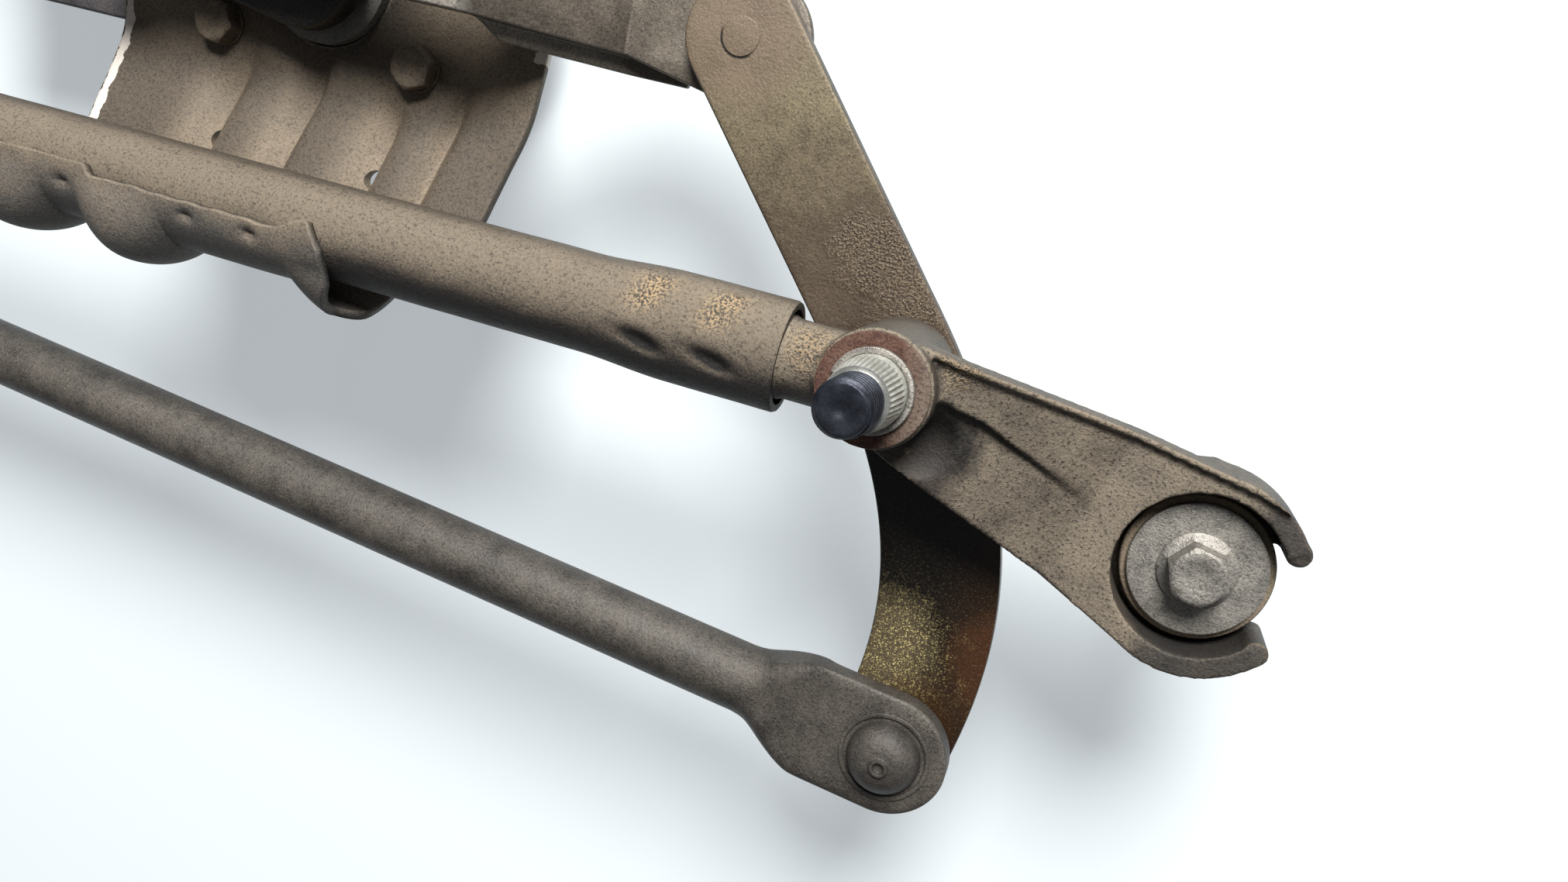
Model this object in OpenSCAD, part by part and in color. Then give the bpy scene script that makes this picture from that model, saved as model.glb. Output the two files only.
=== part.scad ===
/* [Spindles] */
// Distance between the two wiper spindles
spindle_span = 520; // [480:5:600]
// Slope of the line of spindles to the frame tube, in degrees
span_tilt = 5; // [4:0.25:6]
// Nominal diameter of the spindle thread
thread_d = 10; // [9:0.5:10.5]
// Length of the spindle thread
thread_len = 9; // [7:0.5:12]
// Length of the knurled cone below the thread
cone_len = 9; // [7:0.5:10]
// Diameter of the spindle shaft in its bush
shaft_d = 13; // [12:0.5:14]
// Wall of the spindle bush
bush_wall = 1.5; // [1:0.25:2]
// Outer diameter of the washer on the hub
spindle_washer_d = 20.5; // [19:0.5:21]
// Thickness of the washer on the hub
spindle_washer_t = 1.2; // [0.8:0.1:1.6]

/* [Frame tube] */
// Outer diameter of the frame tube
tube_d = 19; // [18:0.5:20]
// Wall of the frame tube
tube_wall = 1.5; // [1.2:0.1:2]
// Depth of the tube axis below the foot of the spindle thread
tube_drop = 22; // [21:0.5:25]
// Right-hand spindle to the end of the tube
tube_end = 18; // [16:0.5:22]
// Left-hand spindle to the end of the tube, along the tube
tube_tail = 48; // [44:1:60]
// Length of each bracket's spigot inside the tube
spigot_len = 44; // [36:1:60]

/* [Brackets] */
// Diameter of the bearing hub
hub_d = 21.5; // [21:0.5:24]
// Height of the hub's top above the tube axis
hub_rise = 8; // [7:0.5:9]
// Spindle to mounting bolt along the tube, right-hand bracket
claw_x = 62.5; // [58:0.5:70]
// Mounting bolt below the tube axis, seen from the front
claw_y = 20; // [16:0.5:24]
// Outer radius of the claw
claw_r = 19.2; // [18.6:0.2:20.4]
// Radius of the claw's recess
recess_r = 15.2; // [14.8:0.1:16]
// Depth of the recess floor below the tube axis
floor_drop = 20; // [18:0.5:22]
// Thickness of the recess floor
floor_t = 3; // [2.5:0.25:3.5]
// Half the angle of the claw's mouth, in degrees
mouth_half = 35; // [30:1:40]
// Turn of the claw's mouth from the arm's line, in degrees
mouth_turn = 13.5; // [8:0.5:18]
// Wall and skin of the brackets
cast_wall = 3; // [2.5:0.25:3.5]

/* [Mounting] */
// Nominal diameter of the mounting bolts
bolt_d = 6; // [5:0.5:6]
// Free length of the bolt below the grommet
bolt_free = 16; // [12:1:24]
// Width of the bolt's hexagon across its flats
bolt_af = 10; // [9:0.5:11]
// Diameter of the bolt's flange
bolt_flange_d = 14.2; // [13:0.2:15]
// Diameter of the mounting washer
mount_washer_d = 25; // [22:0.5:26]
// Thickness of the mounting washer
mount_washer_t = 1.6; // [1.2:0.1:2]
// Diameter of the grommet's lips
grommet_d = 28; // [26:0.5:29]
// Thickness of each grommet lip
grommet_lip = 4.5; // [4:0.25:5.5]
// Diameter of the hole in the recess floor
floor_hole_d = 19; // [18:0.5:20]

/* [Levers] */
// Thickness of the lever plates
lever_t = 4; // [3.5:0.25:4.5]
// Depth of the lever's top below the tube axis
lever_drop = 19; // [19:0.25:21]
// Width of the drive arm
lever_w = 22.4; // [21:0.2:24]
// Length of the drive arm from spindle to pin
drive_arm = 71.4; // [68:0.2:74]
// Direction of the drive arm when parked, in degrees from the tube
drive_angle = 130.3; // [128:0.1:133]
// Ball stud beside the spindle along the tube
ball_x = 17; // [15:0.5:20]
// Ball stud below the spindle, seen from the front
ball_y = 74.5; // [72:0.5:78]
// Elbow of the ball arm below the spindle
elbow_y = 34; // [32:0.5:36]
// Sweep of the spindles, in degrees
sweep = 75; // [70:1:78]
// Diameter of the rivet shanks in the levers
rivet_d = 8; // [7:0.25:8.5]
// Diameter of the drive pin in the link's bush
drive_pin_d = 10; // [9.5:0.25:11]

/* [Tie rod] */
// Diameter of the tie rod
rod_d = 14.5; // [13:0.25:15]
// Wall of the tie rod
rod_wall = 1.5; // [1:0.1:2]
// Height of the rod axis above the lever's top
rod_lift = 1; // [0.5:0.1:1.5]
// Thickness of the flattened rod end
eye_t = 5.6; // [5:0.2:6]
// Radius of the rod's eye
eye_r = 12.6; // [12:0.2:14]
// Ball to the start of the round rod
eye_len = 33; // [30:1:40]
// Extra flat length at the left-hand end, where the lever folds over the rod
left_flat = 32; // [30:1:40]
// Diameter of the ball studs' balls
ball_d = 11; // [10:0.25:11.5]
// Outer diameter of the cap over a ball
cap_d = 18.6; // [18:0.2:19.4]

/* [Motor plate] */
// Thickness of the motor plate's sheet
sheet_t = 2; // [1.5:0.1:2.2]
// Motor shaft beside the right-hand spindle
motor_x = 139; // [136:1:142]
// Motor shaft above the tube, seen from the front
motor_y = 50; // [48:0.5:52]
// Depth of the motor pad's face below the tube axis
pad_drop = 20; // [19:0.5:22]
// Right edge of the plate beside the right-hand spindle
plate_right = 86.5; // [84:0.5:88]
// Left edge of the plate beside the right-hand spindle
plate_left = 188; // [184:0.5:192]
// Right end of the strap round the tube
strap_right = 108; // [106:1:114]
// Left end of the strap round the tube
strap_left = 205; // [200:1:212]
// Depth of the grooves pressed into the plate
groove_h = 2.5; // [1.5:0.25:2.75]
// Half the width of a groove
groove_half = 7; // [6:0.25:7.25]

/* [Drive link and crank] */
// Thickness of the drive link's sheet
link_t = 2; // [1.5:0.1:2.5]
// Width of the drive link's channel
link_w = 16; // [14:0.5:17]
// Width of each flange of the drive link
link_flange = 3.5; // [2.5:0.25:4]
// Depth of the drive link's channel
link_h = 6; // [5:0.25:7]
// Turn of the crank from its dead point when parked, in degrees
park_lag = 9.5; // [6:0.5:14]
// Thickness of the crank
crank_t = 5; // [4:0.25:5.5]
// Diameter of the motor's output shaft
out_shaft_d = 12; // [10:0.5:12]

/* [Motor] */
// Radius of the gear case
case_r = 36; // [34:0.5:39]
// Depth of the gear case
case_h = 31; // [30:0.5:34]
// Radius of the motor can
can_r = 25; // [24:0.5:27]
// Length of the motor can
can_len = 76; // [70:1:90]
// Teeth of the worm wheel
wheel_teeth = 50; // [46:1:52]
// Module of the worm wheel
wheel_module = 1; // [0.9:0.05:1.05]

/* [Fits] */
// Radial clearance of shafts in their bushes
run_gap = 0.05; // [0.03:0.01:0.08]
// Clearance between pieces that move past each other
move_gap = 0.4; // [0.3:0.05:0.6]
// Radial clearance of pieces pressed together
seat_gap = 0.02; // [0.01:0.01:0.05]

/* [Hidden] */
$fn = 64;

// Heights, measured from the foot of the right-hand spindle thread
tube_z = -tube_drop;
hub_top = tube_z + hub_rise;
lever_top = tube_z - lever_drop;
lever_bottom = lever_top - lever_t;
hub_bottom = lever_top + move_gap;
floor_z = tube_z - floor_drop;
rod_z = lever_top + rod_lift;
eye_top = rod_z + rod_d / 2;
ball_z = eye_top - eye_t / 2;
pad_z = tube_z - pad_drop;

// Plan positions
left_spindle = [-spindle_span * cos(span_tilt), spindle_span * sin(span_tilt)];
right_ball = [ball_x, -ball_y];
left_ball = left_spindle + right_ball;
drive_pin_at = drive_arm * [cos(drive_angle), sin(drive_angle)];
motor_at = [-motor_x, motor_y];
right_claw = [claw_x, -claw_y];
left_claw = [-claw_x * cos(15), claw_y];
tube_left = left_spindle.x + tube_tail;
tube_id = tube_d - 2 * tube_wall;

// Crank and link: in line at the far end of the sweep, park_lag short of that when parked
drive_pin_end = drive_arm * [cos(drive_angle - sweep), sin(drive_angle - sweep)];
reach_park = norm(motor_at - drive_pin_at);
reach_end = norm(motor_at - drive_pin_end);
crank_r = (pow(reach_end, 2) - pow(reach_park, 2)) / (2 * (reach_end + reach_park * cos(park_lag)));
link_len = reach_end - crank_r;
crank_angle = atan2(motor_at.y - drive_pin_at.y, motor_at.x - drive_pin_at.x) - park_lag;
crank_pin_at = motor_at + crank_r * [cos(crank_angle), sin(crank_angle)];
link_angle = atan2(crank_pin_at.y - drive_pin_at.y, crank_pin_at.x - drive_pin_at.x);

// Stack of pieces on the motor plate
motor_bolt_head = 4.5;
motor_bolt_af = 8;
motor_bolt_reach = 8;
bolt_circle_r = 29;
bolt_angles = [-148, -32, 90];
crank_bottom = pad_z + motor_bolt_head + 2 * move_gap;
crank_top = crank_bottom + crank_t;
crank_nut_h = 4;
link_bottom = crank_top + crank_nut_h + 0.6 + 2 * move_gap;
link_top = link_bottom + link_h;
link_eye_top = lever_bottom - 0.6;
link_eye_bottom = link_eye_top - link_t;
ramp_from = 25;
ramp_to = 49;

// Gear and motor
wheel_pitch_r = wheel_teeth * wheel_module / 2;
worm_r = 5;
case_top = pad_z - sheet_t;
case_bottom = case_top - case_h;
wheel_h = 10;
worm_drop = 19;
worm_z = case_top - worm_drop;
motor_axis_y = motor_y + wheel_pitch_r + worm_r;
can_front = -motor_x - case_r - 8;
can_wall = 2;

// Shared shapes
// Strip with straight sides between two circles of radius ra and rb
module strip(a, ra, b, rb) {
    u = (b - a) / norm(b - a);
    n = [-u.y, u.x];
    polygon([a + ra * n, b + rb * n, b - rb * n, a - ra * n]);
}

// Bar with round ends between two points
module bar(a, ra, b, rb) {
    strip(a, ra, b, rb);
    translate(a) circle(ra);
    translate(b) circle(rb);
}

// Extrude a Y-Z outline along the tube
module along_x(x0, x1) {
    translate([x0, 0, 0]) rotate([90, 0, 90]) linear_extrude(x1 - x0) children();
}

// Cylinder along the tube
module rod_x(x0, x1, r) {
    translate([x0, 0, 0]) rotate([0, 90, 0]) cylinder(h = x1 - x0, r = r);
}

// Cylinder between two heights
module post(z0, z1, r) {
    translate([0, 0, z0]) cylinder(h = z1 - z0, r = r);
}

// Ring between two heights
module ring(z0, z1, r_out, r_in) {
    difference() {
        post(z0, z1, r_out);
        post(z0 - 1, z1 + 1, r_in);
    }
}

// Hexagonal prism between two heights
module hexagon(z0, z1, across) {
    translate([0, 0, z0]) cylinder(h = z1 - z0, r = across / sqrt(3), $fn = 6);
}

// Frame
crimp_x = [
    -tube_end - 12, -tube_end - 26,
    tube_left + 12, tube_left + 26
];
tube_r = tube_d / 2;

// Shallow tool marks that press the tube into the spigot's grooves
module crimps() {
    for (x = crimp_x) {
        // crosswise dent on the back of the tube
        translate([x, 0, tube_z]) rotate([-42, 0, 0]) translate([0, 0, tube_r + 2.1])
            rotate([90, 0, 0]) cylinder(h = 11, r = 3, center = true);
        // long dent on the front of the tube
        translate([x, 0, tube_z]) rotate([16, 0, 0]) translate([-2, 0, tube_r + 0.4]) {
            rod_x(0, 4, 1.5);
            sphere(1.5);
            translate([4, 0, 0]) sphere(1.5);
        }
    }
}

module frame_tube() {
    color("#7d7467") difference() {
        translate([0, 0, tube_z]) difference() {
            rod_x(tube_left, -tube_end, tube_r);
            rod_x(tube_left - 1, -tube_end + 1, tube_id / 2);
        }
        crimps();
    }
}

// Bracket arm: high at the hub, low at the claw, with a ledge and a raised lip
arm_hub_r = hub_d / 2 - 0.5;
ledge_top = tube_z + 4.5;
ledge_h = 3;
lip_h = 1;
lip_w = 1.2;
arm_top_claw = tube_z - 9;
ledge_end = 0.1;
// The arm's rim overhangs its body
rim_h = ledge_h + 3;
rim_w = 3;
// Bowl beside the hub, in front of the ledge
scoop = [14, -5];
scoop_half = 6.5;
scoop_h = 2.2;
scoop_r = (scoop_half * scoop_half + scoop_h * scoop_h) / (2 * scoop_h);
scoop_z = tube_z + 0.4;
neck_gap = 0.5;
arm_low_hub = hub_bottom + 1;
claw_bottom = floor_z - floor_t;
tip_r = (claw_r - recess_r) / 2 + 0.3;

// Upright slab with the given side view, the arm lying along +X
module upright(points) {
    translate([0, 120, 0]) rotate([90, 0, 0]) linear_extrude(240) polygon(points);
}

// Space above a top line that falls from the hub to the claw
module above_arm(length, hub_z, claw_z) {
    upright([
        [-60, hub_z],
        [hub_d / 2, hub_z],
        [length - claw_r - 4, claw_z],
        [length + 60, claw_z],
        [length + 60, tube_z + 160],
        [-60, tube_z + 160]
    ]);
}

// Space under the arm's rim, outside its narrower body
module under_rim(length) {
    difference() {
        upright([
            [-60, ledge_top - rim_h],
            [hub_d / 2, ledge_top - rim_h],
            [length - claw_r - 4, arm_top_claw - rim_h],
            [length + 60, arm_top_claw - rim_h],
            [length + 60, claw_bottom - 60],
            [-60, claw_bottom - 60]
        ]);
        over(claw_bottom - 70) {
            strip([0, 0], arm_hub_r - rim_w, [length, 0], claw_r - rim_w);
            translate([length, 0]) circle(claw_r + 0.5);
        }
    }
}

// Space below the arm, which steps down to the claw's floor
module below_arm(length) {
    upright([
        [-60, arm_low_hub],
        [length - claw_r - 8, arm_low_hub],
        [length - claw_r - 1, claw_bottom],
        [length + 60, claw_bottom],
        [length + 60, claw_bottom - 60],
        [-60, claw_bottom - 60]
    ]);
}

// Plan area over the arm, cut upwards out of it
module over(z0) {
    translate([0, 0, z0]) linear_extrude(120) children();
}

// Hollow under the arm with a cross rib
module arm_pocket(length) {
    from = scoop.x + scoop_half + cast_wall;
    wall = rim_w + cast_wall;
    difference() {
        over(claw_bottom - 20) difference() {
            strip([0, 0], arm_hub_r - wall, [length, 0], claw_r - wall);
            translate([length, 0]) circle(claw_r + 0.5);
            circle(from);
            translate([(from + length - claw_r) / 2, 0]) square([cast_wall, 4 * claw_r], center = true);
        }
        above_arm(length, ledge_top - ledge_h - cast_wall, arm_top_claw - cast_wall - 0.5);
    }
}

module claw_arm(length) {
    difference() {
        over(claw_bottom - 5) bar([0, 0], arm_hub_r, [length, 0], claw_r);
        below_arm(length);
        under_rim(length);
        above_arm(length, ledge_top + lip_h, arm_top_claw + lip_h);
        // top face inside the lip
        intersection() {
            above_arm(length, ledge_top, arm_top_claw);
            over(claw_bottom) {
                polygon([
                    [-60, -80],
                    [-60, arm_hub_r - lip_w],
                    [0, arm_hub_r - lip_w],
                    [length, claw_r - lip_w],
                    [length + 60, claw_r - lip_w],
                    [length + 60, -80]
                ]);
            }
        }
        // lower face in front of the ledge
        intersection() {
            above_arm(length, ledge_top - ledge_h, arm_top_claw - ledge_end);
            over(claw_bottom)
                polygon([[-60, -80], [-60, 3], [9, 3.2], [18.4, 4.1], [length - 20, 0], [length, -80]]);
        }
        translate([scoop.x, scoop.y, scoop_z + scoop_r - scoop_h]) sphere(scoop_r);
        arm_pocket(length);
        // recess, floor hole and mouth of the claw
        translate([length, 0, 0]) {
            post(floor_z, tube_z + hub_d, recess_r);
            post(claw_bottom - 1, tube_z, floor_hole_d / 2);
            over(claw_bottom - 2) rotate(mouth_turn) polygon([
                [0, 0],
                3 * claw_r * [cos(mouth_half), -sin(mouth_half)],
                3 * claw_r * [cos(mouth_half), sin(mouth_half)]
            ]);
        }
    }
    // rounded tips of the claw
    for (s = [-1, 1])
        translate([length, 0, 0]) rotate([0, 0, mouth_turn + s * mouth_half])
            translate([(claw_r + recess_r) / 2, 0, 0]) post(claw_bottom + 0.4, arm_top_claw - 0.3, tip_r);
}

// Bore for the spindle bush
module bush_bore() {
    post(hub_bottom - 30, hub_top + 30, shaft_d / 2 + bush_wall + seat_gap);
}

module right_bracket() {
    reach = norm(right_claw);
    turn = atan2(right_claw.y, right_claw.x);
    color("#6b645a") difference() {
        union() {
            post(hub_bottom, hub_top, hub_d / 2);
            rotate([0, 0, turn]) claw_arm(reach);
            translate([0, 0, tube_z]) {
                rod_x(-tube_end - spigot_len, -tube_end, tube_id / 2 - seat_gap);
                rod_x(-tube_end - 1, 0, tube_id / 2 - neck_gap);
            }
        }
        bush_bore();
    }
}

// Half the thickness of the left-hand bracket's neck
neck_half = 6.2;

module left_bracket() {
    reach = norm(left_claw);
    turn = atan2(left_claw.y, left_claw.x);
    foot = [tube_tail - 14, -left_spindle.y];
    color("#6b645a") translate(left_spindle) difference() {
        union() {
            post(hub_bottom, hub_top, hub_d / 2);
            rotate([0, 0, turn]) claw_arm(reach);
            // cranked neck from the tube up to the hub
            translate([0, 0, tube_z - neck_half]) linear_extrude(2 * neck_half)
                bar(foot, tube_id / 2, [0, 0], hub_d / 2 - 1);
            translate([0, foot.y, tube_z]) {
                rod_x(foot.x, tube_tail, tube_id / 2 - 1);
                rod_x(tube_tail, tube_tail + spigot_len, tube_id / 2 - seat_gap);
            }
        }
        bush_bore();
    }
}

module bush() {
    color("#8a7a5c") ring(hub_bottom, hub_top, shaft_d / 2 + bush_wall, shaft_d / 2 + run_gap);
}

module right_bush() { bush(); }

module left_bush() { translate(left_spindle) bush(); }

// Mounting points: rubber grommet, steel sleeve, washer and bolt in each claw
sleeve_r = bolt_d / 2 + 2;
shank_relief = 0.6;
sleeve_play = 0.3;
flange_t = 1.4;
head_h = 6;
sleeve_bottom = claw_bottom - grommet_lip;
sleeve_top = floor_z + grommet_lip;

module at_claws() {
    translate(right_claw) children();
    translate(left_spindle + left_claw) children();
}

module grommet() {
    color("#8b7f6d") difference() {
        union() {
            post(floor_z, floor_z + grommet_lip, grommet_d / 2);
            post(claw_bottom, floor_z, floor_hole_d / 2 - seat_gap);
            post(claw_bottom - grommet_lip, claw_bottom, grommet_d / 2);
        }
        post(sleeve_bottom - 1, sleeve_top + 1, sleeve_r + seat_gap);
    }
}

module right_grommet() { translate(right_claw) grommet(); }

module left_grommet() { translate(left_spindle + left_claw) grommet(); }

module mount_sleeves() {
    color("#9a9a98") at_claws() ring(sleeve_bottom, sleeve_top, sleeve_r, bolt_d / 2 + sleeve_play);
}

module mount_washers() {
    color("#9aa0a0") at_claws()
        ring(sleeve_top, sleeve_top + mount_washer_t, mount_washer_d / 2, bolt_d / 2 + sleeve_play);
}

module mount_bolts() {
    under_head = sleeve_top + mount_washer_t;
    color("#8f9494") at_claws() {
        post(sleeve_bottom - bolt_free, sleeve_bottom, bolt_d / 2);
        post(sleeve_bottom - 1, under_head, bolt_d / 2 - shank_relief);
        post(under_head, under_head + flange_t, bolt_flange_d / 2);
        hexagon(under_head + flange_t, under_head + head_h, bolt_af);
    }
}

// Spindles and levers
journal_r = 5.5;
washer_z = hub_top + move_gap / 2;
clip_z = washer_z + spindle_washer_t;
clip_t = 1.2;
clip_w = 1.2;

module spindle() {
    color("#b4b6ae") rotate_extrude() polygon([
        [0, lever_bottom - 1.5],
        [journal_r + 2, lever_bottom - 1.5],
        [journal_r + 2, lever_bottom],
        [journal_r, lever_bottom],
        [journal_r, lever_top],
        [shaft_d / 2, lever_top],
        [shaft_d / 2, -cone_len],
        [thread_d / 2 + 0.6, 0],
        [thread_d / 2, 0],
        [thread_d / 2, thread_len],
        [thread_d / 2 - 0.9, thread_len + 0.9],
        [0, thread_len + 0.9]
    ]);
}

module spindle_washer() {
    color("#6e3f2c") ring(washer_z, clip_z, spindle_washer_d / 2, shaft_d / 2 + seat_gap);
}

module spindle_clip() {
    color("#a09a86") difference() {
        ring(clip_z, clip_z + clip_t, shaft_d / 2 + clip_w, shaft_d / 2 + seat_gap);
        // gap between the clip's ends
        translate([0, 0, clip_z - 1]) linear_extrude(clip_t + 2)
            polygon([[0, 0], [-shaft_d, -2.5], [-shaft_d, 2.5]]);
    }
}

// Holes for the spindle's journal and the riveted studs
module lever_holes(studs) {
    post(lever_bottom - 1, lever_top + 1, journal_r + seat_gap);
    for (p = studs) translate(p) post(lever_bottom - 1, lever_top + 1, rivet_d / 2 + seat_gap);
}

// Middle line of the curved arm that carries the ball stud, and its normal
arm_bend = [ball_x + 9.5, -elbow_y - 0.75];
arm_half = lever_w / 2 + 0.8;
end_r = 0.2;

function arm_line(t) = 2 * t * (1 - t) * arm_bend + t * t * right_ball;

function arm_normal(t) =
    let (d = (1 - t) * arm_bend + t * (right_ball - arm_bend)) [-d.y, d.x] / norm(d);

// Flat piece of a lever
module lever_part() {
    translate([0, 0, lever_bottom]) linear_extrude(lever_t) children();
}

module ball_arm() {
    steps = 10;
    lever_part() polygon(concat(
        [for (i = [0:steps]) arm_line(i / steps) + arm_half * arm_normal(i / steps)],
        [for (i = [steps:-1:0]) arm_line(i / steps) - arm_half * arm_normal(i / steps)]
    ));
    lever_part() circle(arm_half + end_r);
    lever_part() translate(right_ball) circle(arm_half + end_r);
}

module right_lever() {
    color("#5f5744") difference() {
        union() {
            ball_arm();
            lever_part() strip([0, 0], lever_w / 2, drive_pin_at, lever_w / 2);
            lever_part() translate(drive_pin_at) circle(lever_w / 2 + end_r);
        }
        lever_holes([drive_pin_at, right_ball]);
    }
}

module left_lever() {
    color("#5f5744") translate(left_spindle) difference() {
        ball_arm();
        lever_holes([right_ball]);
    }
}

module right_spindle() { spindle(); }

module left_spindle_shaft() { translate(left_spindle) spindle(); }

module right_spindle_washer() { spindle_washer(); }

module left_spindle_washer() { translate(left_spindle) spindle_washer(); }

module right_spindle_clip() { spindle_clip(); }

module left_spindle_clip() { translate(left_spindle) spindle_clip(); }

// Pin that hangs the drive link under the lever, riveted flush at the top
pin_head_z = link_eye_bottom - 1;

module drive_pin() {
    color("#8c8672") translate(drive_pin_at) {
        post(lever_bottom, lever_top, rivet_d / 2);
        post(pin_head_z - move_gap, lever_bottom, drive_pin_d / 2);
        post(pin_head_z - move_gap - 1.5, pin_head_z - move_gap, drive_pin_d / 2 + 3);
    }
}

// Ball stud: rivet, collar, neck and ball
stud_neck_r = ball_d / 2 - 2.2;

module ball_stud() {
    color("#9b9b96") {
        post(lever_bottom - 1.2, lever_bottom, rivet_d / 2 + 2);
        post(lever_bottom, lever_top, rivet_d / 2);
        post(lever_top, lever_top + 0.6, rivet_d / 2 + 1.5);
        post(lever_top, ball_z, stud_neck_r);
        translate([0, 0, ball_z]) sphere(ball_d / 2);
    }
}

module right_ball_stud() { translate(right_ball) ball_stud(); }

module left_ball_stud() { translate(left_ball) ball_stud(); }

// Tie rod
socket_r = ball_d / 2 + 2.2;
cap_step = 0.8;
dome_r = ball_d / 2 + 2.6;
dome_wall = 1;

// Rod end pressed flat round the ball socket, the rod leaving along -X
module rod_end(flat) {
    neck = eye_r + flat;
    hull() {
        translate([-eye_len - flat, 0, rod_z]) rod_x(-0.5, 0, rod_d / 2, $fn = 32);
        translate([-neck, 0, eye_top - eye_t / 2]) cube([1, 2 * eye_r - 4, eye_t], center = true);
    }
    translate([0, 0, eye_top - eye_t]) linear_extrude(eye_t) {
        circle(eye_r);
        translate([-neck - 0.5, -eye_r + 2]) square([neck + 0.5, 2 * eye_r - 4]);
    }
}

// Hole for a ball socket, stepped for the cap
module socket_hole() {
    post(rod_z - rod_d, eye_top + 1, socket_r + seat_gap);
    post(eye_top - cap_step, eye_top + 1, cap_d / 2 + seat_gap);
}

module tie_rod() {
    color("#55504a") translate(right_ball) rotate([0, 0, -span_tilt]) difference() {
        union() {
            rod_end(0);
            translate([-spindle_span, 0, 0]) mirror([1, 0, 0]) rod_end(left_flat);
            translate([0, 0, rod_z]) rod_x(-spindle_span + eye_len + left_flat, -eye_len, rod_d / 2);
        }
        translate([0, 0, rod_z])
            rod_x(-spindle_span + eye_len + left_flat + 4, -eye_len - 4, rod_d / 2 - rod_wall);
        socket_hole();
        translate([-spindle_span, 0, 0]) socket_hole();
    }
}

// Plastic cup that holds a ball
module rod_socket() {
    color("#3a3835") difference() {
        union() {
            post(eye_top - eye_t - 0.6, eye_top - cap_step, socket_r);
            intersection() {
                translate([0, 0, ball_z]) sphere(dome_r - dome_wall - seat_gap);
                post(eye_top - cap_step, eye_top + 3 * ball_d, 2 * ball_d);
            }
        }
        translate([0, 0, ball_z]) sphere(ball_d / 2 + 0.3);
        post(lever_top, ball_z, stud_neck_r + 1);
    }
}

// Pressed steel cap over the ball socket, with a ringed nub
module rod_cap() {
    color("#5c5852") {
        difference() {
            union() {
                post(eye_top - cap_step, eye_top + 0.2, cap_d / 2);
                intersection() {
                    translate([0, 0, ball_z]) sphere(dome_r);
                    post(eye_top - cap_step, eye_top + 3 * ball_d, 2 * ball_d);
                }
            }
            translate([0, 0, ball_z]) sphere(dome_r - dome_wall);
            ring(eye_top - 0.5, eye_top + 1, cap_d / 2 - 0.8, cap_d / 2 - 1.6);
        }
        ring(ball_z + dome_r - 0.4, ball_z + dome_r + 0.5, 2, 1.1);
    }
}

module right_rod_socket() { translate(right_ball) rod_socket(); }

module left_rod_socket() { translate(left_ball) rod_socket(); }

module right_rod_cap() { translate(right_ball) rod_cap(); }

module left_rod_cap() { translate(left_ball) rod_cap(); }

// Motor plate: pressed sheet that slopes from the tube to the motor
slope_from = 6;
slope_to = 28;
wrap_r = tube_r + seat_gap;
pad_r = 37;
grooves = [-160, -140.5, -118.5, -104];
groove_end = 24;
end_wall = 1.5;
bulges = [-190, -159.5];
bulge_half = 11;
bulge_h = 6;
drains = [[-158, 10], [-119, 10]];
drain_r = 2;
dimples = [-172, -141.5, -126.5];
dimple_r = 4;
dimple_deep = 0.6;
flare = 4;
flare_len = 13;

// Height of the sheet's top face under the tube
under_tube = tube_z - wrap_r;

module sheet_side() {
    polygon([
        [0, under_tube],
        [slope_from, under_tube],
        [slope_to, pad_z],
        [motor_y + pad_r, pad_z],
        [motor_y + pad_r, pad_z - sheet_t],
        [slope_to - 0.4, pad_z - sheet_t],
        [slope_from - 0.4, under_tube - sheet_t],
        [0, under_tube - sheet_t]
    ]);
}

module plate_outline() {
    polygon([
        [-plate_left, 0],
        [-plate_left, 36],
        [-motor_x - pad_r, motor_y + 4],
        [-motor_x + pad_r, motor_y + 4],
        [-plate_right, 44],
        [-plate_right, 0]
    ]);
    translate(motor_at) circle(pad_r);
}

// Slice of the slope between two distances from the tube, from below it to above it
module slope_slice(y0, y1, below, above) {
    function level(y) = under_tube + (pad_z - under_tube) * (y - slope_from) / (slope_to - slope_from);
    along_x(-strap_left, 0) polygon([
        [y0, level(y0) - below],
        [y1, level(y1) - below],
        [y1, level(y1) + above],
        [y0, level(y0) + above]
    ]);
}

// Round bar down the slope whose lowest part lies a groove's depth under the sheet's top
module groove_bar(x, extra) {
    tilt = atan2(pad_z - under_tube, slope_to - slope_from);
    groove_r = (groove_half * groove_half + groove_h * groove_h) / (2 * groove_h);
    translate([x, slope_from, under_tube]) rotate([tilt, 0, 0])
        translate([0, -10, groove_r - groove_h]) rotate([-90, 0, 0]) cylinder(h = 50, r = groove_r + extra);
}

// Keep only the front of a ring round the tube, from below its middle to its crest
module front_of_tube(low) {
    intersection() {
        children();
        translate([-strap_left - 40, -40, tube_z - low]) cube([strap_left, 40, 60]);
    }
}

// Hollow bulge pressed into the strap, in line with a groove of the plate
module strap_bulge(x) {
    big = (pow(bulge_half, 2) + pow(bulge_h, 2)) / (2 * bulge_h);
    front_of_tube(8) translate([x, 0, tube_z]) rotate([0, 90, 0]) rotate_extrude() difference() {
        intersection() {
            translate([wrap_r + sheet_t + bulge_h - big, 0]) circle(big);
            translate([wrap_r + 0.5, -bulge_half]) square([40, 2 * bulge_half]);
        }
        translate([wrap_r + sheet_t + bulge_h - big, 0]) circle(big - sheet_t);
    }
}

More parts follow.
